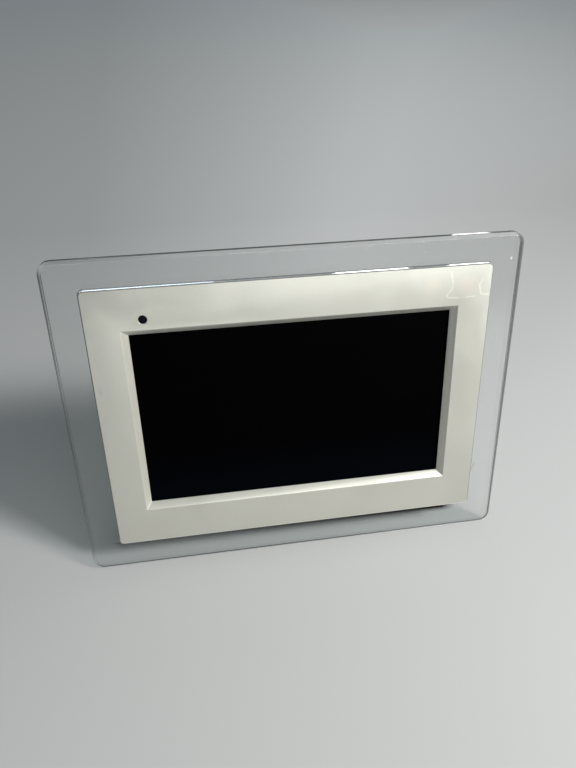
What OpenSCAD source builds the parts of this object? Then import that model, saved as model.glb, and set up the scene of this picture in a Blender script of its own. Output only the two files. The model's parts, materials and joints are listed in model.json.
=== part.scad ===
// Free-standing picture frame with a flat display, a clear plate and a folding leg.
// Millimetres, Z up, the front faces -Y. The origin is on the table, at the middle of
// the standing frame's footprint. The panel is drawn upright, then leaned back.

/* [Display] */
// Width of the lit picture area
active_w = 152.4; // [120:0.1:185]
// Height of the lit picture area
active_h = 91.4; // [86:0.1:112]
// Display module's border beside the picture area
display_side = 6.3; // [5:0.1:8]
// Display module's border above the picture area
display_top = 4.3; // [3:0.1:6]
// Display module's border below the picture area
display_bottom = 8.3; // [6:0.1:10]
// Thickness of the display module
display_t = 5.7; // [5.2:0.1:7]

/* [Bezel] */
// Black edge of the display that shows at each side of the window
window_gap_w = 0.5; // [0.1:0.1:1]
// Black edge of the display that shows above and below the window
window_gap_h = 0.1; // [0.1:0.1:1]
// Width of the sloping face around the window
slope_w = 3; // [2:0.1:4]
// Depth of the sloping face, from the bezel's face to its back edge
slope_depth = 3.1; // [2.6:0.1:4]
// Flat width of the bezel at each side
bezel_side = 16.1; // [15:0.1:24]
// Flat width of the bezel above and below the window
bezel_rail = 19.9; // [19:0.1:26]
// How far the bezel's face stands in front of the clear plate
bezel_proud = 2.2; // [1.8:0.1:2.5]
// Corner radius of the bezel
bezel_corner_r = 2.5; // [1.5:0.1:5]
// Bevel along the bezel's outer front edge
bezel_edge = 0.4; // [0.2:0.1:0.8]
// Wall of the rim that surrounds the display
rim_wall = 1.6; // [1.2:0.1:2]

/* [Clear plate] */
// Margin of clear plate beside the bezel
margin_side = 15.7; // [8:0.1:30]
// Margin of clear plate above the bezel
margin_top = 13.2; // [8:0.1:30]
// Margin of clear plate below the bezel
margin_bottom = 16.6; // [8:0.1:30]
// Thickness of the clear plate
plate_t = 5; // [4.5:0.1:6]
// Corner radius of the clear plate
plate_corner_r = 6; // [3:0.5:10]
// Polished bevel along the plate's front edges
front_bevel = 1.4; // [0.5:0.1:1.8]
// Polished bevel along the plate's back edges
back_bevel = 0.8; // [0.3:0.1:1.2]

/* [Rear housing] */
// Distance from the display module's back face to the housing's back face
rear_space = 18; // [18:0.5:26]
// Wall thickness of the housing
wall = 2; // [1.6:0.1:2.5]
// Thickness of the housing's flange behind the clear plate
flange_t = 2.6; // [2:0.1:3.5]
// Thickness of the foam strip between the flange and the clear plate
foam_t = 0.8; // [0.5:0.1:1.5]
// Corner radius of the housing, seen from behind
housing_corner_r = 8; // [7:0.5:12]
// Rounding of the housing's back edges
housing_edge_r = 3.5; // [2:0.5:5]

/* [Screws] */
// Radius of every screw's thread
screw_r = 1; // [0.8:0.1:1.2]
// Radius of every screw's head
screw_head_r = 2; // [1.8:0.1:2.2]
// Height of every screw's head
screw_head_h = 1.2; // [1:0.1:1.4]
// Radius of the bezel's screw posts
post_r = 2.3; // [2:0.1:2.6]

/* [Keys] */
// Radius of each key's cap
key_r = 4.2; // [3.6:0.1:4.4]
// Distance between the middle key and each key around it
key_pitch = 12; // [11.5:0.5:13]
// How far a key stands out of the housing
key_proud = 1; // [0.8:0.1:1.5]
// Travel of a key
key_travel = 0.5; // [0.3:0.1:0.6]
// Travel of the power switch's slider
slider_travel = 3; // [2:0.5:4]

/* [Stand] */
// Angle that the panel leans back from upright
lean = 15; // [10:1:20]
// Angle between the panel and the open leg
open_angle = 41; // [36:1:46]
// Thickness of the leg
leg_t = 4; // [3:0.5:5]
// Width of the leg at its foot
leg_foot_w = 30; // [26:1:40]
// Width of the leg's knuckle
knuckle_w = 24; // [20:1:30]
// Radius of the hinge pin
hinge_pin_r = 1.5; // [1.2:0.1:2]
// Distance from the middle of the display down to the hinge
hinge_drop = 3.3; // [0:0.1:10]

/* [Sockets] */
// Radius of the power inlet's opening
inlet_r = 2.2; // [2:0.1:2.8]
// Radius of the power inlet's centre pin
inlet_pin_r = 0.8; // [0.6:0.05:1]
// Radius of each wall-hanging hole
hang_r = 4; // [3.5:0.1:5]
// Half-width of the slot above each wall-hanging hole
hang_slot_r = 2.1; // [1.8:0.1:2.3]

/* [Hidden] */
$fn = 64;
eps = 0.5;

// Clearances
fit_gap = 0.3;
pin_gap = 0.05;
thread_gap = 0.02;
moving_gap = 0.3;

// Display, window and bezel
display_w = active_w + 2 * display_side;
display_h = active_h + display_top + display_bottom;
display_drop = (display_bottom - display_top) / 2;
window_w = active_w + 2 * window_gap_w;
window_h = active_h + 2 * window_gap_h;
opening_w = window_w + 2 * slope_w;
opening_h = window_h + 2 * slope_w;
bezel_w = opening_w + 2 * bezel_side;
bezel_h = opening_h + 2 * bezel_rail;
rim_w = display_w + 2 * fit_gap + 2 * rim_wall;
rim_h = display_h + 2 * fit_gap + 2 * rim_wall;
rim_corner_r = 2.7;

// Clear plate
plate_w = bezel_w + 2 * margin_side;
plate_h = bezel_h + margin_top + margin_bottom;
screen_z = margin_bottom + bezel_h / 2;
cut_w = rim_w + 2 * fit_gap;
cut_h = rim_h + 2 * fit_gap;
cut_corner_r = rim_corner_r + fit_gap;

// Depths, measured back from the plate's back face
face_y = -plate_t - bezel_proud;
lip_y = face_y + slope_depth;
seal_t = 0.4;
display_y = lip_y + seal_t;
chassis_y = display_y + display_t;
chassis_t = 0.8;
standoff_h = 5.2;
board_y = chassis_y + chassis_t + standoff_h;
board_t = 1.6;
board_top = board_y + board_t;
housing_depth = chassis_y + rear_space;
back_in_y = housing_depth - wall;

// Layers inside the display module
tin_t = 0.4;
tin_overlap = 1;
glass_t = 1.5;
films_t = 0.6;
tray_t = 0.7;
layer_gap = 0.1;
tin_in_w = display_w - 2 * tin_t - 2 * layer_gap;
tin_in_h = display_h - 2 * tin_t - 2 * layer_gap;
glass_y = display_y + tin_t;
films_y = glass_y + glass_t + layer_gap;
guide_y = films_y + films_t + layer_gap;
guide_back = chassis_y - tray_t - layer_gap;
tray_wall = 1;
led_w = 2.4;

// Infrared window, beside the window's upper left corner
ir_x = -(window_w / 2 - 7.4);
ir_z = opening_h / 2 + 5;
ir_r = 2;
ir_tube_r = ir_r + 1.5;
ir_sensor_z = active_h / 2 + display_top + 2.7;
ir_board_y = chassis_y + chassis_t + 0.4;
ir_dome_t = 0.6;

// Screws that clamp the bezel, the plate and the housing together
post_hole_r = post_r + 0.2;
cut_low = display_drop + cut_h / 2;
post_x = cut_w / 2 + 1.7 + post_hole_r;
post_z = cut_low + 1.7 + post_hole_r;
clamp_places = [for (x = [-1, 1], z = [-1, 1]) [x * post_x, z * post_z],
    [0, post_z], [0, -post_z]];
clamp_screw_l = 8;
clear_r = screw_r + 0.3;
pilot_r = screw_r + thread_gap;

// Rear housing
cavity_w = display_w + 7;
cavity_h = active_h + 2 * (display_bottom + 1);
body_w = cavity_w + 2 * wall;
body_h = cavity_h + 2 * wall;
flange_w = 2 * (post_x + 4.5);
flange_h = 2 * (post_z + 4.5);
flange_y = foam_t;
flange_back = foam_t + flange_t;
support_x = cavity_w / 2 - 7;
support_places = [for (x = [-1, 1], z = [-42, cavity_h / 2 - 8]) [x * support_x, z]];
support_r = 2.5;

// Speakers and the vents behind them
speaker_x = 40;
speaker_z = -(cavity_h / 2 - 17);
speaker_r = 14;
speaker_t = 4.8;
grille_r = 0.9;
grille_pitch = 3.4;
grille_rings = 3;
vent_w = 1.6;
vent_h = 14;
vent_pitch = 4;
vent_count = 9;
vent_x = 40;
vent_z = 14;

// Keys, drawn around the middle key. Left and right are as seen from behind
pad_x = -(cavity_w / 2 - 22);
pad_z = 17;
corner_key_z = 17;
key_names = ["menu", "back", "up", "down", "left", "right", "ok"];
key_places = [[-key_pitch, corner_key_z], [key_pitch, corner_key_z], [0, key_pitch],
    [0, -key_pitch], [key_pitch, 0], [-key_pitch, 0], [0, 0]];
key_flange_t = 0.8;
key_flange_r = key_r + 1;
key_top_y = housing_depth + key_proud;
key_flange_y = back_in_y - moving_gap - key_flange_t;
tact_t = 1.9;
tact_w = 6;
tact_top = key_flange_y - key_travel - moving_gap;
stem_r = 1.5;
key_board_back = tact_top - tact_t;
key_board_y = key_board_back - board_t;
key_board_w = 2 * key_pitch + 15;
key_board_low = -21;
key_board_high = corner_key_z + 6.5;
key_post_places = [[-key_pitch - 3.5, 8.5], [key_pitch + 3.5, 8.5]];
key_screw_l = 5;

// Power switch, at the key board's outer edge
slider_z = pad_z - 15;
slider_y = key_board_back + 1.8;
slider_w = 5;
slider_h = 2.6;
slider_foot_w = slider_w + 2;
slider_foot_t = 0.8;
switch_w = 9;
switch_d = 4.2;
switch_face_x = -(cavity_w / 2 - 2 * moving_gap - slider_foot_t);

// Main board and its sockets, along the housing's side wall
board_edge_x = cavity_w / 2 - 1.5;
board_w = 108;
board_low = -39;
board_high = 38;
board_x = board_edge_x - board_w;
connector_x = board_x + 23.5;
standoff_r = 2.5;
standoff_places = [for (x = [board_x + 4, board_edge_x - 14.5], z = [board_low + 4, board_high - 4])
    [x, z]];
mouth_x = cavity_w / 2 - 0.2;
card_z = 17;
card_w = 24.6;
card_h = 2.6;
card_depth = 27;
sheet_t = 0.4;
usb_z = -8;
usb_w = 12.6;
usb_h = 5.2;
usb_depth = 15;
tongue_w = 11;
tongue_t = 1.8;
tongue_back = 1.8;
small_usb_z = -20.5;
small_usb_w = 7;
small_usb_h = 3.1;
small_usb_depth = 8;
inlet_z = -32;
inlet_box = 8;
inlet_depth = 13;
inlet_y = board_top + inlet_box / 2;
port_gap = 0.6;

// Blank label beside the hinge bracket
label_w = 40;
label_h = 14;
label_x = 52;
label_z = -12;

// Wall-hanging holes
hang_x = 38;
hang_z = cavity_h / 2 - 15;
hang_slot_l = 7;

// Hinge and leg
bracket_t = 2;
bracket_w = 50;
bracket_h = 20;
knuckle_r = 4.2;
ear_t = 4;
washer_t = 0.5;
washer_r = 3.6;
hinge_y = housing_depth + bracket_t + knuckle_r + 0.4;
hinge_z = screen_z - hinge_drop;
ear_in_x = knuckle_w / 2 + washer_t + 0.2;
pin_l = 2 * (ear_in_x + ear_t) + 1;
pin_head_r = hinge_pin_r + 1;
bracket_screw_x = 21;
bracket_post_r = 3;
heel_h = 5;
foot_r = 3;
foot_h = 4;
foot_pad_d = 8;
pad_chamfer = 0.8;
shoulder_z = 16;
neck_w = knuckle_w - 2;

// Standing place: the plate's lower back edge and the leg's pad touch the table
floor_lift = -back_bevel * sin(lean);
leg_angle = open_angle - lean;
hinge_up = hinge_z * cos(lean) - hinge_y * sin(lean) + floor_lift;
hinge_back = hinge_z * sin(lean) + hinge_y * cos(lean);
leg_l = (hinge_up - foot_h) / cos(leg_angle);
foot_back = hinge_back + leg_l * sin(leg_angle);
front_reach = -plate_t * cos(lean) + front_bevel * sin(lean);
middle_y = (front_reach + foot_back + foot_pad_d / 2) / 2;

// Leans the upright panel back and stands it on the table
module stood() {
    translate([0, -middle_y, floor_lift]) rotate([-lean, 0, 0]) children();
}

// The upright panel's own frame, with x and z measured from the middle of the display
module at_screen() {
    stood() translate([0, 0, screen_z]) children();
}

// The open leg's frame: the hinge is the origin and the leg points down
module at_leg() {
    translate([0, hinge_back - middle_y, hinge_up]) rotate([leg_angle, 0, 0]) children();
}

module round_rect(w, h, r) {
    square([w - 2 * r, h], center = true);
    square([w, h - 2 * r], center = true);
    for (x = [-1, 1], y = [-1, 1])
        translate([x * (w / 2 - r), y * (h / 2 - r)]) circle(r);
}

// A flat shape carried from depth y0 to depth y1
module deep(y0, y1) {
    translate([0, y1, 0]) rotate([90, 0, 0]) linear_extrude(y1 - y0) children();
}

module slab(w, h, r, y0, y1) {
    deep(y0, y1) round_rect(w, h, r);
}

module box(x0, x1, y0, y1, z0, z1) {
    translate([x0, y0, z0]) cube([x1 - x0, y1 - y0, z1 - z0]);
}

// A round bar from depth y0 to depth y1 at one place
module bar(place, r, y0, y1) {
    translate([place[0], y0, place[1]]) rotate([-90, 0, 0]) cylinder(r = r, h = y1 - y0);
}

// A round bar along X, centred on x = 0
module cross_bar(r, l) {
    rotate([0, 90, 0]) cylinder(r = r, h = l, center = true);
}

// A rounded slab with bevels along its front and back edges
module bevelled_slab(w, h, r, y0, y1, front, back) {
    hull() for (x = [-1, 1], z = [-1, 1])
        translate([x * (w / 2 - r), 0, z * (h / 2 - r)]) rotate([-90, 0, 0]) {
            translate([0, 0, y0 + front]) cylinder(r = r, h = y1 - y0 - front - back, $fn = 32);
            translate([0, 0, y0]) cylinder(r1 = r - front, r2 = r, h = front, $fn = 32);
            if (back > 0)
                translate([0, 0, y1 - back]) cylinder(r1 = r, r2 = r - back, h = back, $fn = 32);
        }
}

// A rounded box whose back edges are rounded too
module soft_box(w, h, r, y0, y1, edge) {
    hull() for (x = [-1, 1], z = [-1, 1])
        translate([x * (w / 2 - r), 0, z * (h / 2 - r)]) rotate([-90, 0, 0]) {
            translate([0, 0, y0]) cylinder(r = r, h = y1 - y0 - edge, $fn = 32);
            translate([0, 0, y1 - edge]) rotate_extrude($fn = 32)
                translate([r - edge, 0]) circle(edge, $fn = 24);
        }
}

// A pan-head screw with a cross recess: its head's underside is at y = 0 and faces -Y
module screw(l) {
    difference() {
        union() {
            bar([0, 0], screw_r, -l, 0.1);
            bar([0, 0], screw_head_r, 0, screw_head_h);
        }
        box(-1.1, 1.1, screw_head_h - 0.6, screw_head_h + eps, -0.25, 0.25);
        box(-0.25, 0.25, screw_head_h - 0.6, screw_head_h + eps, -1.1, 1.1);
    }
}

module acrylic_plate() color([0.86, 0.92, 0.91, 0.4]) at_screen() difference() {
    translate([0, 0, plate_h / 2 - screen_z])
        bevelled_slab(plate_w, plate_h, plate_corner_r, -plate_t, 0, front_bevel, back_bevel);
    translate([0, 0, -display_drop]) slab(cut_w, cut_h, cut_corner_r, -plate_t - eps, eps);
    bar([ir_x, ir_z], ir_tube_r + fit_gap, -plate_t - eps, eps);
    for (place = clamp_places) bar(place, post_hole_r, -plate_t - eps, eps);
}

module front_bezel() color("ivory") at_screen() difference() {
    union() {
        bevelled_slab(bezel_w, bezel_h, bezel_corner_r, face_y, -plate_t, bezel_edge, 0);
        translate([0, 0, -display_drop]) slab(rim_w, rim_h, rim_corner_r, -plate_t - eps, -fit_gap);
        bar([ir_x, ir_z], ir_tube_r, -plate_t - eps, -fit_gap);
        for (place = clamp_places) bar(place, post_r, -plate_t - eps, -fit_gap);
    }
    translate([0, 0, -display_drop]) box(
        -display_w / 2 - fit_gap, display_w / 2 + fit_gap, lip_y, eps,
        -display_h / 2 - fit_gap, display_h / 2 + fit_gap);
    window_slope();
    box(-window_w / 2, window_w / 2, face_y + 1, eps, -window_h / 2, window_h / 2);
    bar([ir_x, ir_z], ir_r, face_y - eps, eps);
    for (place = clamp_places) bar(place, pilot_r, face_y + 1, eps);
}

// The sloping opening, wide at the bezel's face and as wide as the window at the lip
module window_slope() {
    hull() {
        box(-opening_w / 2, opening_w / 2, face_y - eps, face_y, -opening_h / 2, opening_h / 2);
        box(-window_w / 2, window_w / 2, lip_y - 0.01, lip_y, -window_h / 2, window_h / 2);
    }
}

// A dark plug with a stem that leads light back to the sensor
module ir_window() color("black") at_screen() {
    bar([ir_x, ir_z], ir_r, face_y - 0.1, -fit_gap);
}

module display_seal() color("dimgray") at_screen() difference() {
    translate([0, 0, -display_drop])
        box(-display_w / 2, display_w / 2, lip_y, display_y, -display_h / 2, display_h / 2);
    box(-window_w / 2 - 1, window_w / 2 + 1, lip_y - eps, display_y + eps,
        -window_h / 2 - 1, window_h / 2 + 1);
}

module display_tin_frame() color("silver") at_screen() difference() {
    translate([0, 0, -display_drop]) difference() {
        box(-display_w / 2, display_w / 2, display_y, chassis_y - tray_t,
            -display_h / 2, display_h / 2);
        box(-display_w / 2 + tin_t, display_w / 2 - tin_t, glass_y, chassis_y,
            -display_h / 2 + tin_t, display_h / 2 - tin_t);
    }
    box(-window_w / 2 - tin_overlap, window_w / 2 + tin_overlap, display_y - eps, glass_y + eps,
        -window_h / 2 - tin_overlap, window_h / 2 + tin_overlap);
}

// One flat layer of the display, set in from the tin frame by a border
module display_layer(y0, y1, border) {
    translate([0, 0, -display_drop])
        box(-tin_in_w / 2 + border, tin_in_w / 2 - border, y0, y1,
            -tin_in_h / 2 + border, tin_in_h / 2 - border);
}

module display_glass() color([0.02, 0.02, 0.03]) at_screen()
    display_layer(glass_y, glass_y + glass_t, 0.2);

module optical_films() color("whitesmoke") at_screen()
    display_layer(films_y, films_y + films_t, tray_wall + layer_gap);

module light_guide() color("lightcyan") at_screen() difference() {
    display_layer(guide_y, guide_back, tray_wall + layer_gap);
    translate([0, 0, -display_drop - tin_in_h / 2])
        box(-display_w / 2, display_w / 2, guide_y - eps, guide_back + eps,
            0, tray_wall + 2 * layer_gap + led_w);
}

module led_strip() color("gold") at_screen()
    translate([0, 0, -display_drop - tin_in_h / 2 + tray_wall + layer_gap]) {
        box(-active_w / 2, active_w / 2, guide_back - 0.8, guide_back, 0, led_w);
        for (i = [-4 : 4]) translate([i * active_w / 9, 0, 0])
            box(-2, 2, guide_y, guide_back - 0.8, 0, led_w - 0.6);
    }

module backlight_tray() color("white") at_screen() difference() {
    display_layer(films_y, chassis_y, 0);
    display_layer(films_y - eps, chassis_y - tray_t, tray_wall);
}

module chassis_plate() color("lightsteelblue") at_screen() difference() {
    box(-display_w / 2 + 0.5, display_w / 2 - 0.5, chassis_y, chassis_y + chassis_t,
        -46, active_h / 2 + display_top);
    for (place = standoff_places) bar(place, pilot_r, chassis_y - eps, board_y);
    for (x = [-60, -40, 60]) translate([x, 0, -12])
        slab(12, 30, 3, chassis_y - eps, chassis_y + chassis_t + eps);
}

module board_standoffs() color("goldenrod") at_screen() for (place = standoff_places)
    difference() {
        translate([place[0], chassis_y + chassis_t, place[1]]) rotate([-90, 0, 0])
            cylinder(r = standoff_r, h = standoff_h, $fn = 6);
        bar(place, pilot_r, chassis_y, board_y + eps);
    }

module main_board() color("darkgreen") at_screen() difference() {
    box(board_x, board_edge_x, board_y, board_top, board_low, board_high);
    for (place = standoff_places) bar(place, clear_r, board_y - eps, board_top + eps);
}

module board_screws() color("silver") at_screen() for (place = standoff_places)
    translate([place[0], board_top, place[1]]) screw(board_t + 3);

// A low block on the main board's back face, with x measured from the board's inner edge
module chip(x, z, w, h, t) {
    translate([board_x + x, 0, z]) box(-w / 2, w / 2, board_top, board_top + t, -h / 2, h / 2);
}

module main_chips() color([0.1, 0.1, 0.1]) at_screen() {
    chip(41.5, 8, 20, 20, 1.6);
    chip(17.5, 12, 12, 18, 1.2);
    chip(63.5, 26, 10, 10, 1.4);
    chip(29.5, -12, 8, 5, 1.5);
    chip(73.5, -2, 7, 7, 3);
    chip(83.5, -14, 7, 7, 3);
}

module power_capacitors() color("slategray") at_screen()
    for (place = [[78.5, 11], [87.5, -4], [27.5, 30], [37.5, 30]])
        bar([board_x + place[0], place[1]], 2.6, board_top, board_top + 5.6);

module display_connector() color("beige") at_screen() translate([connector_x, 0, 0])
    box(-16, 16, board_y - 1.5, board_y, -36, -32);

// Folded flat cable from the display's lower edge up to the main board
module display_flex() color("peru") at_screen() translate([connector_x, 0, 0]) {
    box(-14, 14, chassis_y, chassis_y + 3.4, -50.2, -50);
    box(-14, 14, chassis_y + 3.2, chassis_y + 3.4, -50, -40);
    box(-14, 14, chassis_y + 3.2, board_y - 0.8, -40.2, -40);
    box(-14, 14, board_y - 1, board_y - 0.8, -40, -36);
}

module ir_sensor() color("black") at_screen() translate([ir_x, 0, ir_sensor_z]) {
    box(-3, 3, ir_dome_t, ir_board_y, -2, 2);
    bar([0, 0], 1.8, 0, ir_dome_t);
}

module ir_board() color("darkgreen") at_screen()
    box(ir_x - 5, ir_x + 5, ir_board_y, ir_board_y + 1, ir_sensor_z - 7, ir_sensor_z + 2);

// Flat cable from the infrared board down and across to the main board's front face
module ir_flex() color("peru") at_screen() {
    box(ir_x - 1.5, ir_x + 1.5, ir_board_y + 1, ir_board_y + 1.2, 24, ir_sensor_z);
    box(ir_x - 1.5, board_x + 12, ir_board_y + 1, ir_board_y + 1.2, 24, 27);
    box(board_x + 11.8, board_x + 12, ir_board_y + 1, board_y, 24, 27);
}

// A folded sheet shell, open at its mouth, standing on the main board
module socket_shell(z, w, h, depth) {
    y = board_top + sheet_t;
    difference() {
        box(mouth_x - depth, mouth_x, board_top, y + h + sheet_t,
            z - w / 2 - sheet_t, z + w / 2 + sheet_t);
        box(mouth_x - depth + sheet_t, mouth_x + eps, y, y + h, z - w / 2, z + w / 2);
    }
}

module card_socket() color("lightgray") at_screen()
    socket_shell(card_z, card_w, card_h, card_depth);

module usb_socket() color("silver") at_screen() {
    middle = board_top + sheet_t + usb_h / 2;
    socket_shell(usb_z, usb_w, usb_h, usb_depth);
    box(mouth_x - usb_depth + sheet_t / 2, mouth_x - tongue_back,
        middle - tongue_t / 2, middle + tongue_t / 2, usb_z - tongue_w / 2, usb_z + tongue_w / 2);
}

module small_usb_socket() color("silver") at_screen() {
    middle = board_top + sheet_t + small_usb_h / 2;
    socket_shell(small_usb_z, small_usb_w, small_usb_h, small_usb_depth);
    box(mouth_x - small_usb_depth + sheet_t / 2, mouth_x - 1,
        middle - 0.4, middle + 0.4, small_usb_z - 2.4, small_usb_z + 2.4);
}

module power_inlet() color([0.12, 0.12, 0.12]) at_screen() difference() {
    box(mouth_x - inlet_depth, mouth_x, board_top, board_top + inlet_box,
        inlet_z - inlet_box / 2, inlet_z + inlet_box / 2);
    translate([mouth_x - inlet_depth + 2, inlet_y, inlet_z]) rotate([0, 90, 0])
        cylinder(r = inlet_r, h = inlet_depth);
}

module power_inlet_pin() color("silver") at_screen()
    translate([mouth_x - inlet_depth + 2, inlet_y, inlet_z]) rotate([0, 90, 0])
        cylinder(r = inlet_pin_r, h = inlet_depth - 3);

// A flat round speaker that faces the housing's back wall
module speaker(x) {
    bar([x, speaker_z], speaker_r, back_in_y - 1.6, back_in_y);
    bar([x, speaker_z], speaker_r - 6, back_in_y - speaker_t, back_in_y - 1.6);
}

module left_speaker() color("dimgray") at_screen() speaker(-speaker_x);

module right_speaker() color("dimgray") at_screen() speaker(speaker_x);

// Wire pairs from each magnet to the main board
module speaker_wires() color("firebrick") at_screen() {
    for (side = [-1, 1], pair = [0, 1.4])
        bar([side * (speaker_x - speaker_r) + side * 8 + side * pair, speaker_z + 12],
            0.5, board_top, back_in_y - 1.6);
    for (pair = [0, 1.4])
        box(-speaker_x + 4 - pair, board_x + 1.4, board_top, board_top + 1,
            speaker_z + 11.5 - pair, speaker_z + 12.5 - pair);
}

module at_pad() {
    at_screen() translate([pad_x, 0, pad_z]) children();
}

module key_board() color("darkgreen") at_pad() difference() {
    box(-key_board_w / 2, key_board_w / 2, key_board_y, key_board_back,
        key_board_low, key_board_high);
    for (place = key_post_places)
        bar(place, clear_r, key_board_y - eps, key_board_back + eps);
}

module key_board_screws() color("silver") at_pad() for (place = key_post_places)
    translate([place[0], key_board_y, place[1]]) mirror([0, 1, 0]) screw(key_screw_l);

module tact_switches() color([0.15, 0.15, 0.15]) at_pad() for (place = key_places)
    difference() {
        box(place[0] - tact_w / 2, place[0] + tact_w / 2, key_board_back, tact_top,
            place[1] - tact_w / 2, place[1] + tact_w / 2);
        bar(place, stem_r + moving_gap, key_board_back - eps, tact_top + eps);
    }

// Flat cable from the key board to the main board
module key_flex() color("peru") at_screen() translate([0, 0, 2]) linear_extrude(8)
    polygon([[pad_x + key_board_w / 2 - 3, key_board_y - 0.2], [pad_x + key_board_w / 2, key_board_y - 0.2],
        [board_x, board_top], [board_x + 5, board_top], [board_x + 5, board_top + 0.2],
        [board_x + 0.1, board_top + 0.2], [pad_x + key_board_w / 2 + 0.1, key_board_y],
        [pad_x + key_board_w / 2 - 3, key_board_y]]);

// A round key: cap, retaining flange and a stem that reaches into its switch
module key(name) at_pad() {
    place = key_places[search([name], key_names)[0]];
    bar(place, key_r, key_flange_y, key_top_y);
    bar(place, key_flange_r, key_flange_y, key_flange_y + key_flange_t);
    bar(place, stem_r, key_board_back + moving_gap + key_travel, key_flange_y + 0.1);
}

module menu_key() color([0.1, 0.1, 0.1]) key("menu");

module back_key() color([0.1, 0.1, 0.1]) key("back");

module up_key() color([0.1, 0.1, 0.1]) key("up");

module down_key() color([0.1, 0.1, 0.1]) key("down");

module left_key() color([0.1, 0.1, 0.1]) key("left");

module right_key() color([0.1, 0.1, 0.1]) key("right");

module ok_key() color([0.1, 0.1, 0.1]) key("ok");

module power_switch() color([0.15, 0.15, 0.15]) at_screen()
    box(switch_face_x, switch_face_x + switch_d, key_board_back, key_board_back + 3.6,
        slider_z + slider_travel / 2 - switch_w / 2, slider_z + slider_travel / 2 + switch_w / 2);

// Thumb piece with a foot that runs between the side wall and the switch
module power_slider() color([0.1, 0.1, 0.1]) at_screen() {
    wall_x = -cavity_w / 2;
    box(wall_x - wall - 1, wall_x + moving_gap + 0.1, slider_y - slider_h / 2,
        slider_y + slider_h / 2, slider_z - slider_w / 2, slider_z + slider_w / 2);
    box(wall_x + moving_gap, wall_x + moving_gap + slider_foot_t, slider_y - slider_h / 2 - 0.5,
        slider_y + slider_h / 2 + 0.5, slider_z - slider_foot_w / 2, slider_z + slider_foot_w / 2);
}

module housing_foam() color([0.2, 0.2, 0.2]) at_screen() difference() {
    slab(flange_w - 1, flange_h - 1, 4.5, 0, foam_t);
    slab(cavity_w, cavity_h, 2, -eps, foam_t + eps);
    for (place = clamp_places) bar(place, clear_r, -eps, foam_t + eps);
    box(ir_x - 6, ir_x + 6, -eps, foam_t + eps, cavity_h / 2 - 1, ir_z + ir_tube_r + 1);
}

module rear_housing() color("gainsboro") at_screen() {
    difference() {
        union() {
            soft_box(body_w, body_h, housing_corner_r, flange_y, housing_depth, housing_edge_r);
            slab(flange_w, flange_h, 5, flange_y, flange_back);
        }
        slab(cavity_w, cavity_h, housing_corner_r - wall, -eps, back_in_y);
        for (place = clamp_places) bar(place, clear_r, -eps, flange_back + eps);
        side_ports();
        back_holes();
        slider_slot();
    }
    for (place = support_places)
        bar(place, support_r, chassis_y + chassis_t, back_in_y + eps);
    translate([pad_x, 0, pad_z]) for (place = key_post_places) difference() {
        bar(place, support_r, key_board_back, back_in_y + eps);
        bar(place, pilot_r, key_board_back - eps, back_in_y + 0.1);
    }
    for (x = [-1, 1]) difference() {
        bar([x * bracket_screw_x, -hinge_drop], bracket_post_r, back_in_y - 3, back_in_y + eps);
        bar([x * bracket_screw_x, -hinge_drop], pilot_r, back_in_y - 3 - eps, housing_depth);
    }
}

// A port's hole through the side wall, a little larger than the socket's mouth
module side_port(z, w, h) {
    y = board_top + sheet_t;
    box(cavity_w / 2 - eps, body_w / 2 + eps, y - port_gap, y + h + port_gap,
        z - w / 2 - port_gap, z + w / 2 + port_gap);
}

module side_ports() {
    side_port(card_z, card_w, card_h);
    side_port(usb_z, usb_w, usb_h);
    side_port(small_usb_z, small_usb_w, small_usb_h);
    translate([cavity_w / 2 - eps, inlet_y, inlet_z]) rotate([0, 90, 0])
        cylinder(r = inlet_r + 1.3, h = wall + 2 * eps);
}

module slider_slot() {
    gap = moving_gap;
    box(-body_w / 2 - eps, -cavity_w / 2 + eps, slider_y - slider_h / 2 - gap,
        slider_y + slider_h / 2 + gap, slider_z - slider_w / 2 - gap,
        slider_z + slider_w / 2 + slider_travel + gap);
}

// Holes through the back wall: keys, speaker grilles, vents, hanging holes and screws
module back_holes() {
    y0 = back_in_y - eps;
    y1 = housing_depth + eps;
    for (place = key_places)
        bar([pad_x + place[0], pad_z + place[1]], key_r + moving_gap, y0, y1);
    for (side = [-1, 1]) {
        for (ring = [0 : grille_rings], i = [0 : max(0, 6 * ring - 1)])
            bar([side * speaker_x + grille_pitch * ring * cos(i * 60 / max(1, ring)),
                speaker_z + grille_pitch * ring * sin(i * 60 / max(1, ring))], grille_r, y0, y1);
        bar([side * hang_x, hang_z], hang_r, y0, y1);
        bar([side * hang_x, hang_z + hang_slot_l], hang_slot_r, y0, y1);
        box(side * hang_x - hang_slot_r, side * hang_x + hang_slot_r, y0, y1,
            hang_z, hang_z + hang_slot_l);
        bar([side * bracket_screw_x, -hinge_drop], pilot_r, y0, y1);
    }
    for (i = [0 : vent_count - 1]) translate([vent_x + (i - (vent_count - 1) / 2) * vent_pitch, 0, vent_z])
        slab(vent_w, vent_h, vent_w / 2 - 0.01, y0, y1);
}

module housing_screws() color("silver") at_screen() for (place = clamp_places)
    translate([place[0], flange_back, place[1]]) screw(clamp_screw_l);

module blank_label() color("white") at_screen() translate([label_x, 0, label_z])
    slab(label_w, label_h, 1.5, housing_depth, housing_depth + 0.15);

module ear(side) {
    x0 = side > 0 ? ear_in_x : -ear_in_x - ear_t;
    difference() {
        translate([x0, 0, 0]) {
            box(0, ear_t, -knuckle_r - 0.4 - eps, 0, -knuckle_r, knuckle_r);
            rotate([0, 90, 0]) cylinder(r = knuckle_r, h = ear_t);
        }
        translate([x0 + ear_t / 2, 0, 0]) cross_bar(hinge_pin_r + pin_gap, ear_t + 2 * eps);
    }
}

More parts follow.
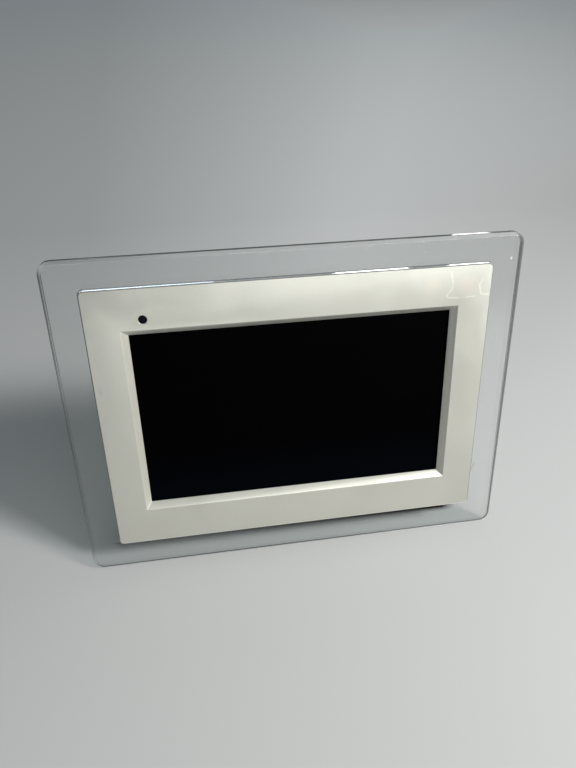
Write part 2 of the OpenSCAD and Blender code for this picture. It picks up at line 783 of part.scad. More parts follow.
module stand_bracket() color("gainsboro") at_screen() translate([0, 0, -hinge_drop]) {
    difference() {
        slab(bracket_w, bracket_h, 3, housing_depth, housing_depth + bracket_t);
        for (x = [-1, 1]) bar([x * bracket_screw_x, 0], clear_r,
            housing_depth - eps, housing_depth + bracket_t + eps);
    }
    translate([0, hinge_y, 0]) for (side = [-1, 1]) ear(side);
}

module bracket_screws() color("silver") at_screen() for (x = [-1, 1])
    translate([x * bracket_screw_x, housing_depth + bracket_t, -hinge_drop]) screw(5);

module hinge_pin() color("silver") at_leg() {
    cross_bar(hinge_pin_r, pin_l);
    for (side = [-1, 1]) translate([side * (pin_l / 2 + 0.4), 0, 0]) cross_bar(pin_head_r, 0.8);
}

module hinge_washers() color("darkgray") at_leg() for (side = [-1, 1])
    translate([side * (knuckle_w / 2 + 0.1 + washer_t / 2), 0, 0]) difference() {
        cross_bar(washer_r, washer_t);
        cross_bar(hinge_pin_r + pin_gap, washer_t + 1);
    }

// Flat tapered leg: knuckle, heel that stops it when open, and a round foot
module stand_leg() color("gainsboro") at_leg() difference() {
    union() {
        cross_bar(knuckle_r, knuckle_w);
        deep(-leg_t / 2, leg_t / 2) polygon([
            [-neck_w / 2, 0], [-neck_w / 2, -shoulder_z / 2], [-leg_foot_w / 2 - 2, -shoulder_z],
            [-leg_foot_w / 2 + 0.5, -leg_l], [leg_foot_w / 2 - 0.5, -leg_l],
            [leg_foot_w / 2 + 2, -shoulder_z], [neck_w / 2, -shoulder_z / 2], [neck_w / 2, 0]]);
        translate([0, 0, -leg_l]) cross_bar(foot_r, leg_foot_w);
        rotate([-open_angle, 0, 0])
            box(-neck_w / 2, neck_w / 2, -knuckle_r - 0.1, 0, -0.4, heel_h);
    }
    cross_bar(hinge_pin_r + pin_gap, knuckle_w + 2 * eps);
    for (z = [-1, 1]) translate([0, 0, -leg_l / 2 - 5 + z * (leg_l - 34) / 4])
        slab(leg_foot_w - 6, (leg_l - 34) / 2 - 2, 2, leg_t / 2 - 1.4, leg_t);
}

// Rubber cradle under the round foot, flat on the table
module foot_pad() color([0.15, 0.15, 0.15]) translate([0, foot_back - middle_y, 0])
    difference() {
        rotate([90, 0, 90]) linear_extrude(leg_foot_w, center = true) polygon([
            [-foot_pad_d / 2 + pad_chamfer, 0], [foot_pad_d / 2 - pad_chamfer, 0],
            [foot_pad_d / 2, pad_chamfer], [foot_pad_d / 2, foot_h], [-foot_pad_d / 2, foot_h],
            [-foot_pad_d / 2, pad_chamfer]]);
        translate([0, 0, foot_h]) cross_bar(foot_r, leg_foot_w + 1);
    }

acrylic_plate();
front_bezel();
ir_window();
display_seal();
display_tin_frame();
display_glass();
optical_films();
light_guide();
led_strip();
backlight_tray();
chassis_plate();
board_standoffs();
main_board();
board_screws();
main_chips();
power_capacitors();
display_connector();
display_flex();
ir_sensor();
ir_board();
ir_flex();
card_socket();
usb_socket();
small_usb_socket();
power_inlet();
power_inlet_pin();
left_speaker();
right_speaker();
speaker_wires();
key_board();
key_board_screws();
tact_switches();
key_flex();
menu_key();
back_key();
up_key();
down_key();
left_key();
right_key();
ok_key();
power_switch();
power_slider();
housing_foam();
rear_housing();
housing_screws();
blank_label();
stand_bracket();
bracket_screws();
hinge_pin();
hinge_washers();
stand_leg();
foot_pad();
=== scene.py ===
import json
import math

import bmesh
import bpy
from mathutils import Matrix, Quaternion, Vector

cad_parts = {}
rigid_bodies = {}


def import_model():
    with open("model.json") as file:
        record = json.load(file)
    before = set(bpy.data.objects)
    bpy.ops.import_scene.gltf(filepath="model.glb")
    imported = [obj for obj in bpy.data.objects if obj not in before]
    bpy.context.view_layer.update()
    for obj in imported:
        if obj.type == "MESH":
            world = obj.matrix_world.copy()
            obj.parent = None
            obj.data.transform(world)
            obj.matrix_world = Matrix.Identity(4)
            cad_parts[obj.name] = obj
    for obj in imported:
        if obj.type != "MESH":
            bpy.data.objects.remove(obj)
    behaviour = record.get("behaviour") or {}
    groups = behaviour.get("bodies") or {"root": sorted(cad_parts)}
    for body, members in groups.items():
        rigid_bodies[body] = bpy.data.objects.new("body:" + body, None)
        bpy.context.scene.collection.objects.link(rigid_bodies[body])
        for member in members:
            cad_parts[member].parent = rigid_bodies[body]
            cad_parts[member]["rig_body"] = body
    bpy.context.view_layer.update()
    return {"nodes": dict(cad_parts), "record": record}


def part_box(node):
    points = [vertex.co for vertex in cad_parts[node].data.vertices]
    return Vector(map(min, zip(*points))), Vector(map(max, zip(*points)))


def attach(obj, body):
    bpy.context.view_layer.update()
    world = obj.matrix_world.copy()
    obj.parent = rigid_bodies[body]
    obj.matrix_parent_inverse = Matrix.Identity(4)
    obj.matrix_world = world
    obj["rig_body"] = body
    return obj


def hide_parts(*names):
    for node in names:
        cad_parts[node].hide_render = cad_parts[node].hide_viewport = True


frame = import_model()
nodes = frame["nodes"]
mm = 0.001
print("frame loaded:", len(nodes), "nodes")

# The leaned panel's own directions, read from the hanging holes that face straight back
hangingHoles = [m for m in frame["record"]["mounts"] if m["name"].startswith("hanging_hole")]
panelRight = Vector((1, 0, 0))
panelBack = Vector(hangingHoles[0]["axis"]).normalized()
panelUp = panelRight.cross(panelBack)
leanAngle = math.asin(-panelBack.z)

# The panel's origin: the middle of the picture, in the middle of the glass's thickness
pictureRise = 2.0 * mm
glassLow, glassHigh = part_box("display_glass")
panelOrigin = (glassLow + glassHigh) / 2 + panelUp * pictureRise
panelMatrix = Matrix.Translation(panelOrigin) @ Matrix.Rotation(-leanAngle, 4, "X")
panelInverse = panelMatrix.inverted()


def panelExtent(nodeName):
    # Lowest and highest corner of a CAD node along the panel's own directions
    points = [panelInverse @ v.co for v in nodes[nodeName].data.vertices]
    low = Vector([min(p[i] for p in points) for i in range(3)])
    high = Vector([max(p[i] for p in points) for i in range(3)])
    return low, high


bezelLow, bezelHigh = panelExtent("front_bezel")
plateLow, plateHigh = panelExtent("acrylic_plate")


# Small helpers for node trees and meshes

def addNode(tree, kind, values=None, **settings):
    node = tree.nodes.new(kind)
    for key, value in settings.items():
        setattr(node, key, value)
    for key, value in (values or {}).items():
        if isinstance(value, bpy.types.NodeSocket):
            tree.links.new(value, node.inputs[key])
        else:
            node.inputs[key].default_value = value
    return node


def newMaterial(name, values):
    material = bpy.data.materials.new(name)
    material.use_nodes = True
    tree = material.node_tree
    shader = tree.nodes["Principled BSDF"]
    for key, value in values.items():
        shader.inputs[key].default_value = value
    return material, tree, shader


def panelVector(tree):
    # Position on the panel in millimetres: right, back and up from the picture's middle
    place = addNode(tree, "ShaderNodeTexCoord")
    return addNode(tree, "ShaderNodeMapping", {
        "Vector": place.outputs["Object"], "Location": panelOrigin,
        "Rotation": (-leanAngle, 0, 0), "Scale": (mm, mm, mm)}, vector_type="TEXTURE").outputs[0]


def ramp(tree, source, low, high, toLow=0.0, toHigh=1.0):
    return addNode(tree, "ShaderNodeMapRange", {
        "Value": source, "From Min": low, "From Max": high,
        "To Min": toLow, "To Max": toHigh}).outputs[0]


def mathNode(tree, operation, first, second=0.0):
    return addNode(tree, "ShaderNodeMath", {0: first, 1: second}, operation=operation).outputs[0]


def mixColours(tree, factor, first, second, blend="MIX"):
    node = addNode(tree, "ShaderNodeMix", data_type="RGBA", blend_type=blend)
    for socket, value in (("Factor_Float", factor), ("A_Color", first), ("B_Color", second)):
        target = next(s for s in node.inputs if s.identifier == socket)
        if isinstance(value, bpy.types.NodeSocket):
            tree.links.new(value, target)
        else:
            target.default_value = value
    return next(s for s in node.outputs if s.identifier == "Result_Color")


def raise3(tree, height, strength, distance, shader):
    bump = addNode(tree, "ShaderNodeBump", {
        "Height": height, "Strength": strength, "Distance": distance})
    tree.links.new(bump.outputs[0], shader.inputs["Normal"])


def seenByEye(tree):
    # 1 for rays from the camera, straight or through the clear plate
    path = addNode(tree, "ShaderNodeLightPath").outputs
    return mathNode(tree, "MAXIMUM", path["Is Camera Ray"], path["Is Transmission Ray"])


def linkObject(name, mesh):
    thing = bpy.data.objects.new(name, mesh)
    bpy.context.scene.collection.objects.link(thing)
    return thing


def smoothBut(mesh, degrees):
    mesh.polygons.foreach_set("use_smooth", [True] * len(mesh.polygons))
    mesh.set_sharp_from_angle(angle=math.radians(degrees))


# Effects that several finishes share

def newGroup(name, inputs, outputs):
    tree = bpy.data.node_groups.new(name, "ShaderNodeTree")
    for label, kind, value in inputs:
        socket = tree.interface.new_socket(name=label, in_out="INPUT", socket_type=kind)
        if value is not None:
            socket.default_value = value
    for label in outputs:
        tree.interface.new_socket(name=label, in_out="OUTPUT", socket_type="NodeSocketFloat")
    return tree, tree.nodes.new("NodeGroupInput").outputs, tree.nodes.new("NodeGroupOutput").inputs


def makeGrainGroup():
    # Fine moulded grain: small soft bumps with a broken-up second size
    tree, given, result = newGroup("mouldedGrain", [
        ("Vector", "NodeSocketVector", None), ("Size", "NodeSocketFloat", 0.5)], ["Height", "Patches"])
    scale = mathNode(tree, "DIVIDE", 1.0, given["Size"])
    small = addNode(tree, "ShaderNodeTexNoise", {
        "Vector": given["Vector"], "Scale": scale, "Detail": 3.0, "Roughness": 0.6})
    cells = addNode(tree, "ShaderNodeTexVoronoi", {"Vector": given["Vector"], "Scale": scale},
                    feature="SMOOTH_F1")
    broad = addNode(tree, "ShaderNodeTexNoise", {
        "Vector": given["Vector"], "Scale": mathNode(tree, "MULTIPLY", scale, 0.03), "Detail": 4.0})
    tree.links.new(mathNode(tree, "ADD", small.outputs[0], cells.outputs["Distance"]), result["Height"])
    tree.links.new(ramp(tree, broad.outputs[0], 0.35, 0.65), result["Patches"])
    return tree


def makeScratchGroup():
    # Hairline scratches in two directions, as a mask from 0 to 1
    tree, given, result = newGroup("hairScratches", [
        ("Vector", "NodeSocketVector", None), ("Spacing", "NodeSocketFloat", 10.0),
        ("Amount", "NodeSocketFloat", 0.5)], ["Mask"])
    masks = []
    for turn, length in ((0.5, 14.0), (-1.1, 9.0)):
        turned = addNode(tree, "ShaderNodeVectorRotate", {
            "Vector": given["Vector"], "Angle": turn}, rotation_type="Y_AXIS").outputs[0]
        scale = mathNode(tree, "DIVIDE", 1.0, given["Spacing"])
        squeezed = addNode(tree, "ShaderNodeMapping", {
            "Vector": turned, "Scale": (1.0 / length, 1.0, 3.0)}).outputs[0]
        wave = addNode(tree, "ShaderNodeTexNoise", {
            "Vector": squeezed, "Scale": mathNode(tree, "MULTIPLY", scale, 12.0), "Detail": 2.0,
            "Distortion": 0.3}).outputs[0]
        masks.append(ramp(tree, wave, 0.70, 0.74))
    both = mathNode(tree, "MAXIMUM", masks[0], masks[1])
    tree.links.new(mathNode(tree, "MULTIPLY", both, given["Amount"]), result["Mask"])
    return tree


def makeSmudgeGroup():
    # Broad greasy or dusty areas, with finer specks inside them
    tree, given, result = newGroup("handlingSmudges", [
        ("Vector", "NodeSocketVector", None), ("Size", "NodeSocketFloat", 20.0)], ["Smudge", "Specks"])
    scale = mathNode(tree, "DIVIDE", 1.0, given["Size"])
    broad = addNode(tree, "ShaderNodeTexNoise", {
        "Vector": given["Vector"], "Scale": scale, "Detail": 5.0, "Distortion": 0.6}).outputs[0]
    dots = addNode(tree, "ShaderNodeTexVoronoi", {
        "Vector": given["Vector"], "Scale": mathNode(tree, "MULTIPLY", scale, 9.0),
        "Randomness": 1.0}).outputs["Distance"]
    tree.links.new(ramp(tree, broad, 0.42, 0.68), result["Smudge"])
    tree.links.new(ramp(tree, dots, 0.05, 0.02), result["Specks"])
    return tree


grainGroup = makeGrainGroup()
scratchGroup = makeScratchGroup()
smudgeGroup = makeSmudgeGroup()


def useGroup(tree, group, values):
    return addNode(tree, "ShaderNodeGroup", values, node_tree=group).outputs


# Finishes seen from the front

bezelFinish = {
    "cream": (0.57, 0.562, 0.495, 1), "shade": (0.52, 0.512, 0.45, 1), "trim": (0.86, 0.88, 0.90, 1),
    # The dark edge colour is a painted dark reflection, and the pale edge colour a painted highlight
    "paintedDarkEdge": (0.13, 0.135, 0.135, 1), "paintedLowHighlight": (0.95, 0.945, 0.88, 1),
    "trace": (0.80, 0.775, 0.66, 1), "pink": (0.74, 0.655, 0.545, 1), "grainSize": 0.35,
    "roughness": 0.36, "pearl": 0.46, "trimRoughness": 0.05, "trimWidth": 0.12, "paintedLowHighlightWidth": 0.62,
    "paintedDarkEdgeWidth": 0.62, "cornerRadius": 2.5,
    "scuffPlace": (-92.8, 20.1), "pinkPlaces": ((84.0, 58.0, 6.0), (66.0, 60.0, 5.0)),
    "traceLine": ((74.7, 65.9), (75.9, 60.7), (75.7, 57.2), (73.2, 54.3), (74.1, 52.8), (87.7, 52.7)),
    "traceEdge": ((90.2, 61.5), (89.6, 58.0), (90.6, 53.7), (95.0, 53.2)), "traceWidth": 0.55}


def edgeDistance(tree, across, height, place, half, round):
    # Distance from a rounded box's outline: 0 on the line, negative inside
    squares = []
    for i, along in enumerate((across, height)):
        offset = mathNode(tree, "ABSOLUTE", mathNode(tree, "SUBTRACT", along, place[i]))
        outside = mathNode(tree, "MAXIMUM", mathNode(tree, "SUBTRACT", offset, half[i] - round))
        squares.append(mathNode(tree, "POWER", outside, 2.0))
    length = mathNode(tree, "SQRT", mathNode(tree, "ADD", *squares))
    return mathNode(tree, "SUBTRACT", length, round)


def spot(tree, across, height, place, size, tall=1.0):
    # A soft round or upright oval mask about a place on the panel's face
    squat = mathNode(tree, "DIVIDE", mathNode(tree, "SUBTRACT", height, place[1]), tall)
    gap = edgeDistance(tree, across, squat, (place[0], 0), (0.01, 0.01), 0.005)
    return ramp(tree, gap, size, size * 0.3)


def lineDistance(tree, flat, points):
    # Shortest distance from a point on the panel to a bent line through the given points
    nearest = None
    for start, end in zip(points, points[1:]):
        run = Vector((end[0] - start[0], 0, end[1] - start[1]))
        offset = addNode(tree, "ShaderNodeVectorMath", {0: flat, 1: (start[0], 0, start[1])},
                         operation="SUBTRACT").outputs[0]
        along = addNode(tree, "ShaderNodeVectorMath", {0: offset, 1: run / run.length_squared},
                        operation="DOT_PRODUCT").outputs["Value"]
        held = addNode(tree, "ShaderNodeClamp", {0: along}).outputs[0]
        foot = addNode(tree, "ShaderNodeVectorMath", {0: run, "Scale": held}, operation="SCALE").outputs[0]
        gap = addNode(tree, "ShaderNodeVectorMath", {0: offset, 1: foot},
                      operation="DISTANCE").outputs["Value"]
        nearest = gap if nearest is None else mathNode(tree, "MINIMUM", nearest, gap)
    return nearest


def creamPearl():
    f = bezelFinish
    material, tree, shader = newMaterial("creamPearl", {
        "Specular IOR Level": 0.5, "Coat Weight": 0.15, "Coat Roughness": 0.2})
    at = panelVector(tree)
    parts = addNode(tree, "ShaderNodeSeparateXYZ", {0: at}).outputs
    wander = addNode(tree, "ShaderNodeTexNoise", {"Vector": at, "Scale": 0.22, "Detail": 3.0}).outputs[0]
    push = ramp(tree, wander, 0.3, 0.7, -0.5, 0.5)
    across = mathNode(tree, "ADD", parts[0], push)
    height = mathNode(tree, "SUBTRACT", parts[2], push)
    flat = addNode(tree, "ShaderNodeCombineXYZ", {"X": across, "Z": height}).outputs[0]
    grain = useGroup(tree, grainGroup, {"Vector": at, "Size": f["grainSize"]})
    smudge = useGroup(tree, smudgeGroup, {"Vector": at, "Size": 26.0})
    scratch = useGroup(tree, scratchGroup, {"Vector": at, "Spacing": 16.0, "Amount": 0.15})

    colour = mixColours(tree, mathNode(tree, "MULTIPLY", smudge["Smudge"], 0.3), f["cream"], f["shade"])
    fleck = ramp(tree, grain["Height"], 0.75, 1.15, 0.0, 0.05)     # pearl flecks
    colour = mixColours(tree, fleck, colour, (1, 1, 1, 1))
    # Faint raised lines in the upper right corner, with warm stains beside them
    trace = mathNode(tree, "MINIMUM", lineDistance(tree, flat, f["traceLine"]), lineDistance(
        tree, flat, f["traceEdge"]))
    line = mathNode(tree, "MULTIPLY", ramp(tree, trace, f["traceWidth"], 0.1),
                    ramp(tree, wander, 0.38, 0.50, 0.45, 1.0))
    for pinkX, pinkZ, pinkSize in f["pinkPlaces"]:
        stain = mathNode(tree, "MULTIPLY", spot(tree, across, height, (pinkX, pinkZ), pinkSize), 0.3)
        colour = mixColours(tree, stain, colour, f["pink"])
    colour = mixColours(tree, mathNode(tree, "MULTIPLY", line, 0.7), colour, f["trace"])
    scuff = mathNode(tree, "MULTIPLY", spot(tree, across, height, f["scuffPlace"], 1.0, 3.0),
                     ramp(tree, grain["Height"], 0.7, 1.0, 0.05, 0.35))
    colour = mixColours(tree, scuff, colour, (0.32, 0.32, 0.30, 1))
    colour = mixColours(tree, mathNode(tree, "MULTIPLY", scratch["Mask"], 0.08), colour, (0.5, 0.5, 0.47, 1))

    # The outer edge and sides carry a bright mirror-like trim, the face is satin
    middle = (bezelLow + bezelHigh) / 2 / mm
    half = (bezelHigh - bezelLow) / 2 / mm
    rim = edgeDistance(tree, parts[0], parts[2], (middle.x, middle.z), (half.x, half.z), f["cornerRadius"])
    inFront = ramp(tree, parts[1], plateLow.y / mm + 0.1, plateLow.y / mm)
    atBottom = ramp(tree, parts[2], bezelLow.z / mm + 1.6, bezelLow.z / mm + 1.0)
    notBottom = mathNode(tree, "SUBTRACT", 1.0, atBottom)
    trim = mathNode(tree, "MULTIPLY", ramp(tree, rim, -f["trimWidth"], 0.06 - f["trimWidth"]), inFront)
    trim = mathNode(tree, "MULTIPLY", trim, notBottom)
    # A painted dark reflection parts the face from the trim, and the lower edge carries a painted highlight
    paintedDarkEdge = mathNode(tree, "MULTIPLY", ramp(tree, rim, -f["paintedDarkEdgeWidth"], 0.1 - f["paintedDarkEdgeWidth"]),
                    mathNode(tree, "SUBTRACT", notBottom, trim))
    colour = mixColours(tree, mathNode(tree, "MULTIPLY", paintedDarkEdge, 0.85), colour, f["paintedDarkEdge"])
    # Painted highlight along the rounded lower edge
    paintedLowHighlight = mathNode(tree, "MULTIPLY", ramp(
        tree, rim, -f["paintedLowHighlightWidth"], 0.1 - f["paintedLowHighlightWidth"]), atBottom)
    colour = mixColours(tree, paintedLowHighlight, colour, f["paintedLowHighlight"])
    dulled = mixColours(tree, mathNode(tree, "MULTIPLY", smudge["Smudge"], 0.5), f["trim"],
                        (0.6, 0.61, 0.62, 1))
    tree.links.new(mixColours(tree, trim, colour, dulled), shader.inputs["Base Color"])
    pearl = ramp(tree, mathNode(tree, "MAXIMUM", paintedDarkEdge, paintedLowHighlight), 0.0, 1.0, f["pearl"], 0.0)
    tree.links.new(mathNode(tree, "MAXIMUM", pearl, trim), shader.inputs["Metallic"])
    satin = mathNode(tree, "ADD", ramp(tree, smudge["Smudge"], 0.0, 1.0, f["roughness"], f["roughness"] - 0.07),
                     mathNode(tree, "MULTIPLY", scratch["Mask"], 0.1))
    rough = addNode(tree, "ShaderNodeMix", {"Factor": trim, "A": satin, "B": f["trimRoughness"]})
    tree.links.new(rough.outputs[0], shader.inputs["Roughness"])
    relief = mathNode(tree, "ADD", mathNode(tree, "MULTIPLY", grain["Height"], 0.3),
                      mathNode(tree, "MULTIPLY", line, 1.5))
    calm = ramp(tree, trim, 0.0, 1.0, 1.0, 0.06)
    raise3(tree, mathNode(tree, "MULTIPLY", relief, calm), 0.12, 0.0001, shader)
    return material


plateFinish = {
    # The dark grey edge colour stands for painted dark reflections, and lowShade is a painted shadow
    "tint": (0.92, 0.93, 0.926, 1), "paintedDarkening": (0.14, 0.15, 0.147, 1), "shadow": (0.80, 0.825, 0.825, 1),
    "lowShade": (0.012, 0.012, 0.011, 1), "speck": (0.95, 0.95, 0.93, 1), "stain": (0.75, 0.30, 0.24, 1),
    "index": 1.49, "haze": 0.015, "smear": 0.12, "cornerRadius": 6.0,
    "bevel": 1.3, "bevelPaintedDark": (0.1, 0.8), "bevelTop": (2.0, 6.0), "sidePaintedDark": 0.5,
    "rightBevel": 2.0, "rightPaintedDark": 0.88, "rightBand": (5.0, 3.0), "rightDepth": (1.2, 0.8),
    "bezelLineWidth": 0.4, "bezelLineShade": 0.75, "lowShadeDrop": (5.6, 2.4), "lowShadeStrength": (0.5, 1.0),
    "lowShadeSpan": 20.0, "lowShadeEnd": (6.0, 14.0),
    "stainLine": ((97.0, -48.2), (97.5, -46.6), (98.2, -44.6)), "speckPlace": (105.2, 69.8)}


def clearAcrylic():
    f = plateFinish
    material, tree, shader = newMaterial("clearAcrylic", {
        "Transmission Weight": 1.0, "IOR": f["index"], "Metallic": 0.0})
    at = panelVector(tree)
    scratch = useGroup(tree, scratchGroup, {"Vector": at, "Spacing": 22.0, "Amount": 1.0})
    smudge = useGroup(tree, smudgeGroup, {"Vector": at, "Size": 34.0})
    rough = mathNode(tree, "MAXIMUM", mathNode(tree, "MULTIPLY", scratch["Mask"], f["smear"]),
                     mathNode(tree, "MULTIPLY", smudge["Smudge"], f["haze"]))
    rough = mathNode(tree, "MAXIMUM", rough, mathNode(tree, "MULTIPLY", smudge["Specks"], 0.5))
    # A reddish smear beside the bezel and one pale speck near the upper corner
    parts = addNode(tree, "ShaderNodeSeparateXYZ", {0: at}).outputs
    flat = addNode(tree, "ShaderNodeCombineXYZ", {"X": parts[0], "Z": parts[2]}).outputs[0]
    smear = ramp(tree, lineDistance(tree, flat, f["stainLine"]), 0.55, 0.1, 0.0, 0.85)
    tree.links.new(mixColours(tree, smear, f["tint"], f["stain"]), shader.inputs["Base Color"])
    onFront = ramp(tree, parts[1], plateLow.y / mm + 0.2, plateLow.y / mm + 0.1)
    speck = mathNode(tree, "MULTIPLY", spot(tree, parts[0], parts[2], f["speckPlace"], 0.6, 2.0), onFront)
    tree.links.new(mathNode(tree, "MAXIMUM", rough, speck), shader.inputs["Roughness"])
    raise3(tree, mathNode(tree, "ADD", scratch["Mask"], mathNode(tree, "MULTIPLY", smudge["Smudge"], 0.2)),
           0.03, 0.0001, shader)
    # The cut sides and the bevels beside them carry painted dark reflections, most of all on the right
    low, high = plateLow / mm, plateHigh / mm
    middle, half = (low + high) / 2, (high - low) / 2
    outline = edgeDistance(tree, parts[0], parts[2], (middle.x, middle.z), (half.x, half.z), f["cornerRadius"])
    faded = ramp(tree, parts[2], low.z, high.z, *f["bevelPaintedDark"])
    belowTop = ramp(tree, parts[2], *(high.z - step for step in f["bevelTop"]))
    bevelMask = mathNode(tree, "MULTIPLY", mathNode(tree, "MULTIPLY", faded, belowTop),
                         ramp(tree, outline, -f["bevel"] - 0.05, 0.1 - f["bevel"]))
    rightSide = ramp(tree, parts[0], *(high.x - step for step in f["rightBand"]), 0.0, f["rightPaintedDark"])
    rightMask = mathNode(tree, "MULTIPLY", rightSide, ramp(
        tree, outline, -f["rightBevel"] - 0.05, 0.1 - f["rightBevel"]))
    rightMask = mathNode(tree, "MULTIPLY", rightMask, ramp(
        tree, parts[1], *(low.y + step for step in f["rightDepth"])))
    sideMask = ramp(tree, outline, -0.25, -0.1, 0.0, f["sidePaintedDark"])
    paintedDarkening = mathNode(tree, "MAXIMUM", mathNode(tree, "MAXIMUM", bevelMask, rightMask), sideMask)
    # A thin line of painted shade runs round the bezel, with a painted shadow in a dark zone just below it
    low, high = bezelLow / mm, bezelHigh / mm
    middle, half = (low + high) / 2, (high - low) / 2
    gap = edgeDistance(tree, parts[0], parts[2], (middle.x, middle.z), (half.x, half.z),
                       bezelFinish["cornerRadius"])
    line = ramp(tree, gap, f["bezelLineWidth"], f["bezelLineWidth"] - 0.1, 0.0, f["bezelLineShade"])
    below = mathNode(tree, "MULTIPLY", ramp(tree, parts[2], low.z + 0.2, low.z - 0.2), ramp(
        tree, parts[0], low.x, high.x - f["lowShadeSpan"], *f["lowShadeStrength"]))
    below = mathNode(tree, "MULTIPLY", below, ramp(
        tree, parts[0], *(high.x - step for step in f["lowShadeEnd"])))
    lowShade = mathNode(tree, "MULTIPLY", ramp(tree, gap, *f["lowShadeDrop"]), below)
    paintedDarkening = mathNode(tree, "MAXIMUM", paintedDarkening, mathNode(
        tree, "MULTIPLY", mathNode(tree, "MAXIMUM", line, lowShade), onFront))
    # Painted dark reflections and painted shade are drawn as a dull dark surface
    tone = mixColours(tree, lowShade, f["paintedDarkening"], f["lowShade"])
    paintedDarkShader = addNode(tree, "ShaderNodeBsdfDiffuse", {"Color": mixColours(tree, speck, tone, f["speck"])})
    cut = addNode(tree, "ShaderNodeMixShader", {
        0: mathNode(tree, "MAXIMUM", paintedDarkening, speck), 1: shader.outputs[0], 2: paintedDarkShader.outputs[0]})
    # Light shines straight through the plate instead of leaving a solid shadow
    path = addNode(tree, "ShaderNodeLightPath").outputs
    through = addNode(tree, "ShaderNodeBsdfTransparent", {"Color": f["shadow"]})
    mix = addNode(tree, "ShaderNodeMixShader", {
        0: mathNode(tree, "MAXIMUM", path["Is Shadow Ray"], path["Is Diffuse Ray"]),
        1: cut.outputs[0], 2: through.outputs[0]})
    tree.links.new(mix.outputs[0], tree.nodes["Material Output"].inputs["Surface"])
    return material


displayFinish = {"black": (0.0004, 0.0004, 0.0007, 1), "glow": (0.0009, 0.0015, 0.0030, 1), "roughness": 0.38}


def displayBlack():
    f = displayFinish
    material, tree, shader = newMaterial("displayBlack", {"Specular IOR Level": 0.02, "IOR": 1.3})
    at = panelVector(tree)
    parts = addNode(tree, "ShaderNodeSeparateXYZ", {0: at}).outputs
    low = ramp(tree, parts[2], -20.0, -46.0)      # a faint glow along the lower edge
    smudge = useGroup(tree, smudgeGroup, {"Vector": at, "Size": 30.0})
    tree.links.new(mixColours(tree, low, f["black"], f["glow"]), shader.inputs["Base Color"])
    tree.links.new(ramp(tree, smudge["Smudge"], 0.0, 1.0, f["roughness"], f["roughness"] + 0.1),
                   shader.inputs["Roughness"])
    sparkle = addNode(tree, "ShaderNodeTexNoise", {"Vector": at, "Scale": 14.0, "Detail": 2.0}).outputs[0]
    raise3(tree, sparkle, 0.05, 0.00003, shader)
    return material


def darkLens():
    material, tree, shader = newMaterial("darkLens", {"Specular IOR Level": 0.15})
    at = panelVector(tree)
    smudge = useGroup(tree, smudgeGroup, {"Vector": at, "Size": 2.0})
    tree.links.new(mixColours(tree, smudge["Smudge"], (0.001, 0.001, 0.0015, 1), (0.003, 0.002, 0.003, 1)),
                   shader.inputs["Base Color"])
    tree.links.new(ramp(tree, smudge["Smudge"], 0, 1, 0.2, 0.34), shader.inputs["Roughness"])
    return material


# Finishes of the housing, the stand and what is inside

def mouldedPlastic(name, colour, shade, roughness, grainSize, bumpHeight, wear=0.25):
    material, tree, shader = newMaterial(name, {"Specular IOR Level": 0.45})
    at = panelVector(tree)
    grain = useGroup(tree, grainGroup, {"Vector": at, "Size": grainSize})
    smudge = useGroup(tree, smudgeGroup, {"Vector": at, "Size": 24.0})
    scratch = useGroup(tree, scratchGroup, {"Vector": at, "Spacing": 14.0, "Amount": wear})
    base = mixColours(tree, mathNode(tree, "MULTIPLY", grain["Patches"], 0.5), colour, shade)
    base = mixColours(tree, mathNode(tree, "MULTIPLY", smudge["Specks"], wear * 0.5), base, shade)
    tree.links.new(mixColours(tree, mathNode(tree, "MULTIPLY", scratch["Mask"], 0.4), base, shade),
                   shader.inputs["Base Color"])
    tree.links.new(mathNode(tree, "SUBTRACT", roughness, mathNode(
        tree, "MULTIPLY", smudge["Smudge"], 0.12)), shader.inputs["Roughness"])
    raise3(tree, mathNode(tree, "SUBTRACT", grain["Height"], scratch["Mask"]), 0.35, bumpHeight, shader)
    return material


def rolledMetal(name, colour, shade, roughness, brush=(1.0, 1.0, 22.0)):
    material, tree, shader = newMaterial(name, {"Metallic": 1.0})
    at = panelVector(tree)
    stretched = addNode(tree, "ShaderNodeMapping", {"Vector": at, "Scale": brush}).outputs[0]
    streaks = addNode(tree, "ShaderNodeTexNoise", {
        "Vector": stretched, "Scale": 0.9, "Detail": 4.0}).outputs[0]
    smudge = useGroup(tree, smudgeGroup, {"Vector": at, "Size": 6.0})
    tree.links.new(mixColours(tree, ramp(tree, streaks, 0.3, 0.7), colour, shade), shader.inputs["Base Color"])
    tree.links.new(mathNode(tree, "ADD", ramp(tree, streaks, 0.3, 0.7, roughness - 0.05, roughness + 0.08),
                            mathNode(tree, "MULTIPLY", smudge["Smudge"], 0.08)), shader.inputs["Roughness"])
    raise3(tree, streaks, 0.15, 0.00003, shader)
    return material


def softRubber(name, colour, dust):
    material, tree, shader = newMaterial(name, {"Specular IOR Level": 0.3})
    at = panelVector(tree)
    grain = useGroup(tree, grainGroup, {"Vector": at, "Size": 0.4})
    smudge = useGroup(tree, smudgeGroup, {"Vector": at, "Size": 7.0})
    tree.links.new(mixColours(tree, mathNode(tree, "MULTIPLY", smudge["Smudge"], 0.35), colour, dust),
                   shader.inputs["Base Color"])
    tree.links.new(ramp(tree, grain["Patches"], 0, 1, 0.72, 0.88), shader.inputs["Roughness"])
    raise3(tree, grain["Height"], 0.5, 0.00008, shader)
    return material


boardFinish = {"mask": (0.012, 0.11, 0.045, 1), "track": (0.03, 0.21, 0.085, 1), "pad": (0.75, 0.56, 0.25, 1),
               "trackPitch": 1.27}


